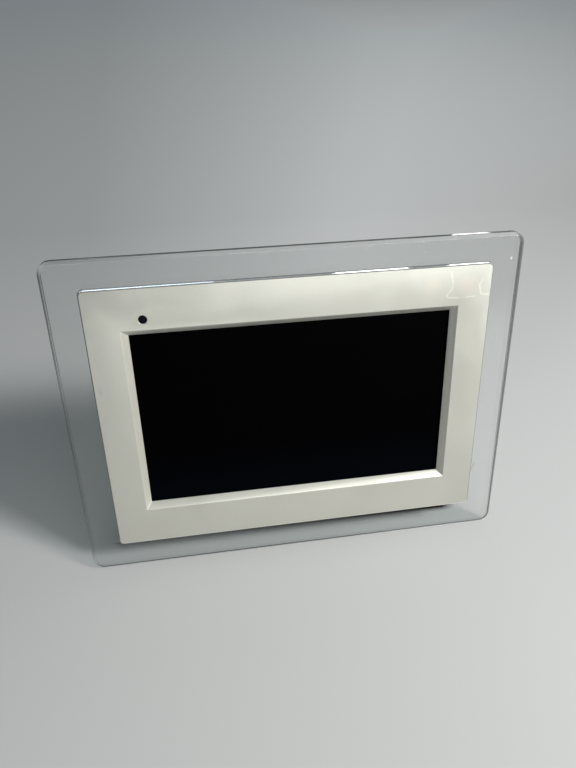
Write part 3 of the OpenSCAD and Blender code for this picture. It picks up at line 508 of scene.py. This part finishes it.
def greenBoard():
    f = boardFinish
    material, tree, shader = newMaterial("greenBoard", {"Coat Weight": 0.5, "Coat Roughness": 0.2})
    at = panelVector(tree)
    cells = addNode(tree, "ShaderNodeTexVoronoi", {"Vector": at, "Scale": 0.11}, feature="F1",
                    distance="CHEBYCHEV").outputs["Color"]
    pick = addNode(tree, "ShaderNodeSeparateColor", {0: cells}).outputs[0]
    parts = addNode(tree, "ShaderNodeSeparateXYZ", {0: at}).outputs
    masks = []
    for axis in (0, 2):
        wave = mathNode(tree, "PINGPONG", parts[axis], f["trackPitch"] / 2)
        masks.append(ramp(tree, wave, 0.2, 0.26))
    chosen = ramp(tree, pick, 0.49, 0.51)
    tracks = addNode(tree, "ShaderNodeMix", {"Factor": chosen, "A": masks[0], "B": masks[1]}).outputs[0]
    dots = addNode(tree, "ShaderNodeTexVoronoi", {"Vector": at, "Scale": 0.24}).outputs["Distance"]
    pads = ramp(tree, dots, 0.13, 0.11)
    colour = mixColours(tree, tracks, f["mask"], f["track"])
    tree.links.new(mixColours(tree, pads, colour, f["pad"]), shader.inputs["Base Color"])
    tree.links.new(pads, shader.inputs["Metallic"])
    tree.links.new(ramp(tree, tracks, 0, 1, 0.45, 0.35), shader.inputs["Roughness"])
    raise3(tree, mathNode(tree, "ADD", tracks, pads), 0.4, 0.00005, shader)
    return material


def paperLabel():
    material, tree, shader = newMaterial("paperLabel", {"Coat Weight": 0.2, "Coat Roughness": 0.3})
    at = panelVector(tree)
    fibres = addNode(tree, "ShaderNodeTexNoise", {"Vector": at, "Scale": 2.5, "Detail": 6.0}).outputs[0]
    low, high = panelExtent("blank_label")
    parts = addNode(tree, "ShaderNodeSeparateXYZ", {0: at}).outputs
    middle = ((low + high) / 2) / mm
    half = ((high - low) / 2) / mm
    border = mathNode(tree, "ABSOLUTE", mathNode(tree, "ADD", edgeDistance(
        tree, parts[0], parts[2], (middle.x, middle.z), (half.x, half.z), 1.5), 1.2))
    colour = mixColours(tree, ramp(tree, fibres, 0.4, 0.6, 0.0, 0.4), (0.74, 0.74, 0.72, 1),
                        (0.66, 0.66, 0.64, 1))
    tree.links.new(mixColours(tree, ramp(tree, border, 0.25, 0.15), colour, (0.30, 0.31, 0.33, 1)),
                   shader.inputs["Base Color"])
    tree.links.new(ramp(tree, fibres, 0.3, 0.7, 0.5, 0.65), shader.inputs["Roughness"])
    raise3(tree, fibres, 0.2, 0.00003, shader)
    return material


def amberFlex():
    material, tree, shader = newMaterial("amberFlex", {"Coat Weight": 0.6, "Coat Roughness": 0.15})
    at = panelVector(tree)
    parts = addNode(tree, "ShaderNodeSeparateXYZ", {0: at}).outputs
    lines = ramp(tree, mathNode(tree, "PINGPONG", parts[0], 0.5), 0.2, 0.26)
    cloud = addNode(tree, "ShaderNodeTexNoise", {"Vector": at, "Scale": 0.3}).outputs[0]
    tree.links.new(mixColours(tree, lines, (0.42, 0.19, 0.03, 1), (0.62, 0.33, 0.09, 1)),
                   shader.inputs["Base Color"])
    tree.links.new(ramp(tree, cloud, 0.3, 0.7, 0.3, 0.45), shader.inputs["Roughness"])
    raise3(tree, lines, 0.2, 0.00003, shader)
    return material


finishes = {
    "cream_plastic": creamPearl(), "clear_acrylic": clearAcrylic(), "display_black": displayBlack(),
    "ir_black": darkLens(), "board_green": greenBoard(), "label_paper": paperLabel(),
    "flex_amber": amberFlex(),
    "foam": softRubber("foamStrip", (0.03, 0.03, 0.032, 1), (0.06, 0.06, 0.06, 1)),
    "foot_rubber": softRubber("footRubber", (0.018, 0.018, 0.018, 1), (0.10, 0.10, 0.095, 1)),
    "wire_red": softRubber("wireInsulation", (0.42, 0.03, 0.025, 1), (0.30, 0.04, 0.03, 1)),
    "tinplate": rolledMetal("tinplate", (0.60, 0.61, 0.62, 1), (0.50, 0.51, 0.52, 1), 0.32),
    "socket_steel": rolledMetal("socketSteel", (0.68, 0.69, 0.70, 1), (0.56, 0.57, 0.58, 1), 0.26),
    "screw_steel": rolledMetal("platedSteel", (0.66, 0.66, 0.66, 1), (0.48, 0.48, 0.49, 1), 0.22, (6, 6, 6)),
    "brass": rolledMetal("turnedBrass", (0.78, 0.56, 0.24, 1), (0.66, 0.46, 0.18, 1), 0.28, (1, 30, 1)),
    "capacitor_aluminium": rolledMetal("drawnAluminium", (0.66, 0.68, 0.72, 1), (0.52, 0.54, 0.60, 1), 0.3),
    "housing_white": mouldedPlastic("housingPlastic", (0.66, 0.66, 0.625, 1), (0.60, 0.60, 0.565, 1),
                                    0.55, 0.55, 0.00006),
    "key_dark": mouldedPlastic("keyPlastic", (0.33, 0.34, 0.345, 1), (0.27, 0.28, 0.285, 1),
                               0.42, 0.4, 0.00003),
    "chip_black": mouldedPlastic("blackMoulding", (0.022, 0.022, 0.024, 1), (0.05, 0.05, 0.05, 1),
                                 0.5, 0.3, 0.00004),
    "speaker_grey": mouldedPlastic("speakerCoating", (0.05, 0.05, 0.055, 1), (0.09, 0.09, 0.09, 1),
                                   0.65, 0.8, 0.0001),
    "connector_beige": mouldedPlastic("connectorBody", (0.66, 0.58, 0.42, 1), (0.58, 0.50, 0.35, 1),
                                      0.5, 0.5, 0.00004),
    "led_yellow": mouldedPlastic("diodeStrip", (0.70, 0.60, 0.16, 1), (0.78, 0.74, 0.55, 1),
                                 0.4, 1.2, 0.00004),
    "white_film": mouldedPlastic("whiteTray", (0.80, 0.80, 0.79, 1), (0.74, 0.74, 0.73, 1),
                                 0.5, 0.9, 0.00003),
    "light_guide_clear": mouldedPlastic("lightGuide", (0.74, 0.82, 0.82, 1), (0.66, 0.76, 0.76, 1),
                                        0.2, 1.0, 0.00003)}
nodeSlot = {row["node"]: row["material_slot"] for row in frame["record"]["subparts"]}
for nodeName, node in nodes.items():
    node.data.materials.clear()
    node.data.materials.append(finishes[nodeSlot[nodeName]])
print("finishes made:", len(finishes))


# Pieces that stand for CAD nodes with softened edges

def refinedCopy(nodeName, pieceName, edgeWidth, segments=2, sharpAngle=30):
    mesh = nodes[nodeName].data.copy()
    mesh.name = pieceName
    work = bmesh.new()
    work.from_mesh(mesh)
    bmesh.ops.remove_doubles(work, verts=work.verts, dist=0.002 * mm)
    bmesh.ops.dissolve_limit(work, angle_limit=math.radians(0.6), verts=work.verts, edges=work.edges)
    work.to_mesh(mesh)
    work.free()
    smoothBut(mesh, sharpAngle)
    piece = linkObject(pieceName, mesh)
    if edgeWidth:
        bevel = piece.modifiers.new("softEdges", "BEVEL")
        bevel.width = edgeWidth
        bevel.segments = segments
        bevel.limit_method = "ANGLE"
        bevel.angle_limit = math.radians(sharpAngle)
        bevel.use_clamp_overlap = False
        bevel.harden_normals = True
    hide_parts(nodeName)
    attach(piece, nodes[nodeName]["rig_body"])
    return piece


softened = {
    "acrylic_plate": ("clearPlate", 0.22), "front_bezel": ("bezelShell", 0.18),
    "rear_housing": ("housingShell", 0.16), "stand_bracket": ("hingeBracket", 0.3),
    "stand_leg": ("foldingLeg", 0.35), "foot_pad": ("legPad", 0.2), "hinge_pin": ("hingePin", 0.25),
    "power_slider": ("powerThumb", 0.25), "power_inlet": ("inletBody", 0.15),
    "usb_socket": ("hostSocketShell", 0.1), "small_usb_socket": ("smallSocketShell", 0.08),
    "card_socket": ("cardSocketShell", 0.08), "ir_window": ("irLens", 0.3)}
for nodeName, (pieceName, width) in softened.items():
    refinedCopy(nodeName, pieceName, width * mm)
for keyName in ("menu", "back", "up", "down", "left", "right", "ok"):
    refinedCopy(keyName + "_key", keyName + "Cap", 0.45 * mm, segments=3)
print("softened pieces:", len(softened) + 7)


# Repeated parts, made by geometry nodes

def newGeometryTree(name, inputs):
    tree = bpy.data.node_groups.new(name, "GeometryNodeTree")
    tree.interface.new_socket(name="Geometry", in_out="INPUT", socket_type="NodeSocketGeometry")
    for label, kind, value in inputs:
        socket = tree.interface.new_socket(name=label, in_out="INPUT", socket_type=kind)
        if value is not None:
            socket.default_value = value
    tree.interface.new_socket(name="Geometry", in_out="OUTPUT", socket_type="NodeSocketGeometry")
    return tree, tree.nodes.new("NodeGroupInput").outputs, tree.nodes.new("NodeGroupOutput").inputs


def makeRowTree():
    # A straight row of equal bars
    tree, given, result = newGeometryTree("rowOfBars", [
        ("Count", "NodeSocketInt", 4), ("Start", "NodeSocketVector", None), ("Step", "NodeSocketVector", None),
        ("Bar Size", "NodeSocketVector", None), ("Finish", "NodeSocketMaterial", None)])
    line = addNode(tree, "GeometryNodeMeshLine", {
        "Count": given["Count"], "Start Location": given["Start"], "Offset": given["Step"]})
    bar = addNode(tree, "GeometryNodeMeshCube", {"Size": given["Bar Size"]})
    placed = addNode(tree, "GeometryNodeInstanceOnPoints", {
        "Points": line.outputs[0], "Instance": bar.outputs["Mesh"]})
    real = addNode(tree, "GeometryNodeRealizeInstances", {0: placed.outputs[0]})
    dressed = addNode(tree, "GeometryNodeSetMaterial", {0: real.outputs[0], "Material": given["Finish"]})
    tree.links.new(dressed.outputs[0], result[0])
    return tree


def makeScatterTree():
    # One prepared shape at every given point
    tree, given, result = newGeometryTree("shapeAtPoints", [
        ("Shape", "NodeSocketObject", None), ("Turn Step", "NodeSocketFloat", 0.0),
        ("Finish", "NodeSocketMaterial", None)])
    shape = addNode(tree, "GeometryNodeObjectInfo", {"Object": given["Shape"]})
    index = addNode(tree, "GeometryNodeInputIndex")
    turn = addNode(tree, "ShaderNodeMath", {0: index.outputs[0], 1: given["Turn Step"]}, operation="MULTIPLY")
    spin = addNode(tree, "ShaderNodeCombineXYZ", {"Y": turn.outputs[0]})
    placed = addNode(tree, "GeometryNodeInstanceOnPoints", {
        "Points": given["Geometry"], "Instance": shape.outputs["Geometry"], "Rotation": spin.outputs[0]})
    real = addNode(tree, "GeometryNodeRealizeInstances", {0: placed.outputs[0]})
    dressed = addNode(tree, "GeometryNodeSetMaterial", {0: real.outputs[0], "Material": given["Finish"]})
    tree.links.new(dressed.outputs[0], result[0])
    return tree


rowTree = makeRowTree()
scatterTree = makeScatterTree()


def runTree(tree, values, pieceName, body, matrix=panelMatrix, points=(), edge=0.0):
    base = bpy.data.meshes.new(pieceName + "Base")
    base.from_pydata(list(points), [], [])
    holder = linkObject(pieceName + "Holder", base)
    modifier = holder.modifiers.new("repeat", "NODES")
    modifier.node_group = tree
    for item in tree.interface.items_tree:
        if item.item_type == "SOCKET" and item.in_out == "INPUT" and item.name in values:
            modifier[item.identifier] = values[item.name]
    holder.update_tag()
    bpy.context.view_layer.update()
    graph = bpy.context.evaluated_depsgraph_get()
    mesh = bpy.data.meshes.new_from_object(holder.evaluated_get(graph))
    mesh.name = pieceName
    bpy.data.objects.remove(holder)
    mesh.transform(matrix)
    smoothBut(mesh, 35)
    piece = linkObject(pieceName, mesh)
    if edge:
        bevel = piece.modifiers.new("softEdges", "BEVEL")
        bevel.width = edge
        bevel.segments = 2
        bevel.angle_limit = math.radians(40)
    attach(piece, body)
    return piece


screwShape = {"headRadius": 2.0, "headHeight": 1.2, "shankRadius": 0.98, "recessWidth": 0.5,
              "recessReach": 1.15, "recessDepth": 0.7, "steps": 32}


def makeScrew(length):
    # Pan-head screw along +Y: the head's underside is at y = 0
    s = screwShape
    profile = [(0, -length), (s["shankRadius"] * 0.5, -length), (s["shankRadius"], -length + 0.6),
               (s["shankRadius"], 0), (s["headRadius"] - 0.1, 0), (s["headRadius"], 0.12)]
    for i in range(1, 8):                                   # domed crown
        angle = math.radians(90 * i / 7)
        profile.append((s["headRadius"] * math.cos(angle) ** 0.6 if i < 7 else 0.0,
                        0.12 + (s["headHeight"] - 0.12) * math.sin(angle)))
    work = bmesh.new()
    ring = [work.verts.new((x * mm, y * mm, 0)) for x, y in profile]
    edges = [work.edges.new(pair) for pair in zip(ring, ring[1:])]
    bmesh.ops.spin(work, geom=ring + edges, cent=(0, 0, 0), axis=(0, 1, 0), angle=math.tau, steps=s["steps"])
    bmesh.ops.remove_doubles(work, verts=work.verts, dist=0.001 * mm)
    bmesh.ops.recalc_face_normals(work, faces=work.faces)
    mesh = bpy.data.meshes.new("screwBlank")
    work.to_mesh(mesh)
    work.free()
    blank = linkObject("screwBlank", mesh)
    cutter = bmesh.new()
    for size in ((s["recessReach"] * 2, s["recessWidth"]), (s["recessWidth"], s["recessReach"] * 2)):
        bmesh.ops.create_cube(cutter, size=1, matrix=Matrix.Translation(
            (0, (s["headHeight"] - s["recessDepth"] / 2 + 0.5) * mm, 0)) @ Matrix.Diagonal(
            (size[0] * mm, (s["recessDepth"] + 1) * mm, size[1] * mm, 1)))
    tool = bpy.data.meshes.new("recessTool")
    cutter.to_mesh(tool)
    cutter.free()
    toolObject = linkObject("recessTool", tool)
    cut = blank.modifiers.new("recess", "BOOLEAN")
    cut.object = toolObject
    cut.operation = "DIFFERENCE"
    cut.solver = "EXACT"
    cut.use_self = True
    graph = bpy.context.evaluated_depsgraph_get()
    graph.update()
    finished = bpy.data.meshes.new_from_object(blank.evaluated_get(graph))
    bpy.data.objects.remove(toolObject)
    bpy.data.objects.remove(blank)
    smoothBut(finished, 35)
    return finished


def looseCentres(nodeName):
    # The middle of each separate solid of a CAD node, in the panel's directions
    mesh = nodes[nodeName].data
    work = bmesh.new()
    work.from_mesh(mesh)
    bmesh.ops.remove_doubles(work, verts=work.verts, dist=0.002 * mm)
    left, found = set(work.verts), []
    while left:
        stack, group = [left.pop()], []
        while stack:
            vert = stack.pop()
            group.append(panelInverse @ vert.co)
            for edge in vert.link_edges:
                other = edge.other_vert(vert)
                if other in left:
                    left.remove(other)
                    stack.append(other)
        low = Vector([min(p[i] for p in group) for i in range(3)])
        high = Vector([max(p[i] for p in group) for i in range(3)])
        found.append((low, high))
    work.free()
    found.sort(key=lambda pair: (round(pair[0].x, 5), round(pair[0].z, 5)))
    return found


def placeScrews(nodeName, pieceName, body, headSide=1):
    solids = looseCentres(nodeName)
    length = (solids[0][1].y - solids[0][0].y) / mm - screwShape["headHeight"]
    shape = linkObject(pieceName + "Shape", makeScrew(length))
    shape.location = (0, 0, -1)
    seat = [Vector(((low.x + high.x) / 2, high.y - screwShape["headHeight"] * mm, (low.z + high.z) / 2))
            for low, high in solids]
    matrix = panelMatrix
    if headSide < 0:
        seat = [Vector(((low.x + high.x) / 2, -low.y - screwShape["headHeight"] * mm, -(low.z + high.z) / 2))
                for low, high in solids]
        matrix = panelMatrix @ Matrix.Rotation(math.pi, 4, "X")
    piece = runTree(scatterTree, {"Shape": shape, "Turn Step": 1.1, "Finish": finishes["screw_steel"]},
                    pieceName, body, matrix=matrix, points=seat)
    bpy.data.objects.remove(shape)
    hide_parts(nodeName)
    return piece


for nodeName, pieceName, side in (
        ("housing_screws", "clampScrews", 1), ("bracket_screws", "bracketScrews", 1),
        ("board_screws", "boardScrews", 1), ("key_board_screws", "keyBoardScrews", -1)):
    placeScrews(nodeName, pieceName, "frame_body", side)
print("screws placed")


def placeRow(pieceName, body, slotName, count, start, step, size, edge=0.0):
    return runTree(rowTree, {
        "Count": count, "Start": start, "Step": step, "Bar Size": size, "Finish": finishes[slotName]},
        pieceName, body, edge=edge)


# Spring contacts inside the sockets
hostLow, hostHigh = panelExtent("usb_socket")
hostMiddle = (hostLow + hostHigh) / 2
contactRow = {"hostCount": 4, "hostPitch": 2.5, "cardCount": 9, "cardPitch": 2.5}
placeRow("hostContacts", "frame_body", "brass", contactRow["hostCount"],
         Vector((hostHigh.x - 6.5 * mm, hostMiddle.y + 1.0 * mm,
                 hostMiddle.z - 1.5 * contactRow["hostPitch"] * mm)),
         Vector((0, 0, contactRow["hostPitch"] * mm)), Vector((7.5 * mm, 0.25 * mm, 1.0 * mm)))
cardLow, cardHigh = panelExtent("card_socket")
cardMiddle = (cardLow + cardHigh) / 2
placeRow("cardContacts", "frame_body", "brass", contactRow["cardCount"],
         Vector((cardLow.x + 8 * mm, cardLow.y + 0.65 * mm, cardMiddle.z - 4 * contactRow["cardPitch"] * mm)),
         Vector((0, 0, contactRow["cardPitch"] * mm)), Vector((9 * mm, 0.3 * mm, 1.1 * mm)))

# Grip ridges on the power switch's thumb piece
thumbLow, thumbHigh = panelExtent("power_slider")
thumbMiddle = (thumbLow + thumbHigh) / 2
placeRow("thumbRidges", "power_knob", "key_dark", 3,
         Vector((thumbLow.x + 0.02 * mm, thumbMiddle.y, thumbMiddle.z - 1.3 * mm)), Vector((0, 0, 1.3 * mm)),
         Vector((0.03 * mm, 2.0 * mm, 0.5 * mm)))

print("rows placed")


# Marks on the keys: plain arrows, a dot and two bars

markShape = {"depth": 0.06, "lift": 0.02, "barGap": 0.9, "arrow": 1.5, "dot": 0.9, "bar": (2.6, 0.55)}


def markMesh(outline):
    work = bmesh.new()
    front = [work.verts.new((x * mm, 0, z * mm)) for x, z in outline]
    face = work.faces.new(front)
    grown = bmesh.ops.extrude_face_region(work, geom=[face])
    for vert in [g for g in grown["geom"] if isinstance(g, bmesh.types.BMVert)]:
        vert.co.y -= markShape["depth"] * mm
    bmesh.ops.recalc_face_normals(work, faces=work.faces)
    mesh = bpy.data.meshes.new("mark")
    work.to_mesh(mesh)
    work.free()
    return mesh


def roundOutline(radius, count, turn=0.0):
    return [(radius * math.cos(math.tau * i / count + turn), radius * math.sin(math.tau * i / count + turn))
            for i in range(count)]


def barOutline(width, height, offset):
    return [(-width / 2, offset - height / 2), (width / 2, offset - height / 2),
            (width / 2, offset + height / 2), (-width / 2, offset + height / 2)]


markMaterial = mouldedPlastic("markInk", (0.80, 0.80, 0.78, 1), (0.72, 0.72, 0.70, 1), 0.5, 0.3, 0.00002)
marks = {"up": [roundOutline(markShape["arrow"], 3, math.pi / 2)],
         "down": [roundOutline(markShape["arrow"], 3, -math.pi / 2)],
         "left": [roundOutline(markShape["arrow"], 3, 0)],
         "right": [roundOutline(markShape["arrow"], 3, math.pi)],
         "ok": [roundOutline(markShape["dot"], 24)],
         "menu": [barOutline(*markShape["bar"], markShape["barGap"] * side) for side in (1, 0, -1)],
         "back": [barOutline(*markShape["bar"], 0)]}
for keyName, outlines in marks.items():
    low, high = panelExtent(keyName + "_key")
    place = Matrix.Translation(((low.x + high.x) / 2, high.y + markShape["lift"] * mm, (low.z + high.z) / 2))
    joined = bmesh.new()
    for outline in outlines:
        mesh = markMesh(outline)
        joined.from_mesh(mesh)
        bpy.data.meshes.remove(mesh)
    markPiece = bpy.data.meshes.new(keyName + "Mark")
    joined.to_mesh(markPiece)
    joined.free()
    markPiece.transform(panelMatrix @ place)
    markPiece.materials.append(markMaterial)
    thing = linkObject(keyName + "Mark", markPiece)
    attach(thing, keyName + "_button")
print("marks made")


# Floor, light and camera

floorFinish = {
    # The floor's uneven tones are painted light
    "near": (0.60, 0.602, 0.598, 1), "middle": (0.50, 0.505, 0.505, 1), "far": (0.80, 0.82, 0.83, 1),
    "nearDepths": (-0.12, 0.36), "farDepths": (0.36, 1.6), "blendDepths": (0.06, 0.34),
    "nearSpan": (-0.18, 0.12), "nearTones": (0.94, 1.12), "farSpan": (0.1, 1.1), "farTones": (1.36, 0.99),
    "spread": 0.36, "halfWidth": 0.12, "brightest": 0.97, "size": 14.0, "melt": (1.75, 2.5),
    "backdrop": (0.92, 0.97, 1.0, 1), "backdropGlow": 0.42}


def makeFloor():
    f = floorFinish
    work = bmesh.new()
    bmesh.ops.create_grid(work, x_segments=8, y_segments=8, size=f["size"] / 2)
    mesh = bpy.data.meshes.new("floorSheet")
    work.to_mesh(mesh)
    work.free()
    floor = linkObject("floorSheet", mesh)
    material, tree, shader = newMaterial("paleFloor", {"Roughness": 0.8, "Specular IOR Level": 0.0})
    place = addNode(tree, "ShaderNodeTexCoord").outputs["Object"]
    parts = addNode(tree, "ShaderNodeSeparateXYZ", {0: place}).outputs
    # Painted light: the floor's colour darkens into the middle distance and turns paler far off
    colour = mixColours(tree, ramp(tree, parts[1], *f["nearDepths"]), f["near"], f["middle"])
    colour = mixColours(tree, ramp(tree, parts[1], *f["farDepths"]), colour, f["far"])
    # Painted light: close by the floor is paler to the right, and far off it is palest in the middle, a painted
    # pool of light
    nearTone = ramp(tree, parts[0], *f["nearSpan"], *f["nearTones"])
    reach = mathNode(tree, "MULTIPLY", parts[1], f["spread"])
    aside = mathNode(tree, "DIVIDE", mathNode(tree, "SUBTRACT", parts[0], reach), mathNode(
        tree, "ADD", reach, f["halfWidth"]))
    farTone = ramp(tree, mathNode(tree, "ABSOLUTE", aside), *f["farSpan"], *f["farTones"])
    blend = ramp(tree, parts[1], *f["blendDepths"])
    tone = addNode(tree, "ShaderNodeMix", {"Factor": blend, "A": nearTone, "B": farTone}).outputs[0]
    lift = addNode(tree, "ShaderNodeVectorMath", {0: colour, "Scale": tone}, operation="SCALE").outputs[0]
    colour = addNode(tree, "ShaderNodeVectorMath", {0: lift, 1: (f["brightest"],) * 3},
                     operation="MINIMUM").outputs[0]
    tree.links.new(colour, shader.inputs["Base Color"])
    # Far away the floor melts into the backdrop, for the eye only
    away = addNode(tree, "ShaderNodeVectorMath", {0: place}, operation="LENGTH").outputs["Value"]
    glow = addNode(tree, "ShaderNodeEmission", {"Color": f["backdrop"], "Strength": f["backdropGlow"]})
    melt = addNode(tree, "ShaderNodeMixShader", {
        0: mathNode(tree, "MULTIPLY", ramp(tree, away, *f["melt"]), seenByEye(tree)),
        1: shader.outputs[0], 2: glow.outputs[0]})
    tree.links.new(melt.outputs[0], tree.nodes["Material Output"].inputs["Surface"])
    mesh.materials.append(material)
    return floor


def addLamp(name, place, target, size, power, colour, reflectionOnly=False):
    data = bpy.data.lights.new(name, "AREA")
    data.shape = "RECTANGLE"
    data.size, data.size_y = size
    data.energy = power
    data.color = colour
    lamp = linkObject(name, data)
    lamp.location = place
    lamp.rotation_mode = "QUATERNION"
    lamp.rotation_quaternion = (Vector(target) - Vector(place)).to_track_quat("-Z", "Y")
    lamp.visible_camera = False
    lamp.visible_diffuse = not reflectionOnly
    return lamp


lights = {"world": (0.78, 0.93, 1.0), "worldStrength": 0.15,
          "key": {"place": (1.33, -0.70, 1.09), "size": (0.35, 0.35),
                  "power": 31.0, "colour": (1, 0.985, 0.955)},
          "above": {"place": (0.2, -0.8, 1.1), "size": (1.5, 0.6),
                    "power": 5.0, "colour": (0.97, 0.99, 1.0)},
          "rear": {"place": (-0.65, 1.1, 0.85), "size": (0.8, 0.5),
                   "power": 7.0, "colour": (1, 0.995, 0.985)},
          "front": {"place": (0.54, -1.2, 0.45), "size": (1.2, 0.48),
                    "power": 11.8, "colour": (0.97, 0.985, 1.0), "reflectionOnly": True},
          "backCards": ({"from": -0.57, "to": 0.01, "low": 0.13, "power": 3.0, "colour": (0.75, 0.88, 1.0)},
                        {"from": 0.547, "to": 0.881, "low": 0.13, "power": 5.0, "colour": (1, 1, 1)},
                        {"from": 1.075, "to": 1.40, "low": 0.0, "power": 5.0, "colour": (1, 1, 1)}),
          "backDistance": 2.3, "backTop": 0.7}
world = bpy.data.worlds.new("studio")
bpy.context.scene.world = world
world.use_nodes = True
skyTree = world.node_tree
sky = skyTree.nodes["Background"]
# The backdrop looks paler than the light it gives
seen = seenByEye(skyTree)
skyStrength = ramp(skyTree, seen, 0.0, 1.0, lights["worldStrength"], floorFinish["backdropGlow"])
skyColour = mixColours(skyTree, seen, (*lights["world"], 1), floorFinish["backdrop"])
skyTree.links.new(skyStrength, sky.inputs["Strength"])
skyTree.links.new(skyColour, sky.inputs["Color"])
floor = makeFloor()
lamps = {}
for lampName in ("key", "above", "rear", "front"):
    lamp = lights[lampName]
    lamps[lampName] = addLamp(lampName + "Lamp", lamp["place"], (0, 0, 0.08), lamp["size"], lamp["power"],
                              lamp["colour"], lamp.get("reflectionOnly", False))
# The rear light falls on the frame's back and leaves the floor alone
unlit = bpy.data.collections.new("unlitByRear")
unlit.objects.link(floor)
lamps["rear"].light_linking.receiver_collection = unlit
unlit.collection_objects[0].light_linking.link_state = "EXCLUDE"
for card in lights["backCards"]:
    cardX, cardZ = (card["from"] + card["to"]) / 2, (card["low"] + lights["backTop"]) / 2
    addLamp("backCard", (cardX, lights["backDistance"], cardZ), (cardX, 0, cardZ),
            (card["to"] - card["from"], lights["backTop"] - card["low"]), card["power"], card["colour"],
            reflectionOnly=True)

# The camera's place and aim, from the middle of the bezel's face, in the panel's own directions
view = {"right": -0.0455, "out": 0.2785, "up": 0.1492, "aim": (0.132, 0.8934, -0.4293), "roll": 1.17,
        "lens": 30.01}
faceMiddle = panelMatrix @ Vector((0, bezelLow.y, 0))
cameraData = bpy.data.cameras.new("camera")
cameraData.lens = view["lens"]
cameraData.sensor_width = 36
camera = linkObject("camera", cameraData)
camera.location = faceMiddle + panelRight * view["right"] - panelBack * view["out"] + panelUp * view["up"]
aim = panelRight * view["aim"][0] + panelBack * view["aim"][1] + panelUp * view["aim"][2]
camera.rotation_mode = "QUATERNION"
camera.rotation_quaternion = aim.to_track_quat("-Z", "Y") @ Quaternion((0, 0, 1), math.radians(view["roll"]))
cameraData.clip_start = 0.01
bpy.context.scene.camera = camera
bpy.context.scene.view_settings.view_transform = "Standard"
print("stage set")
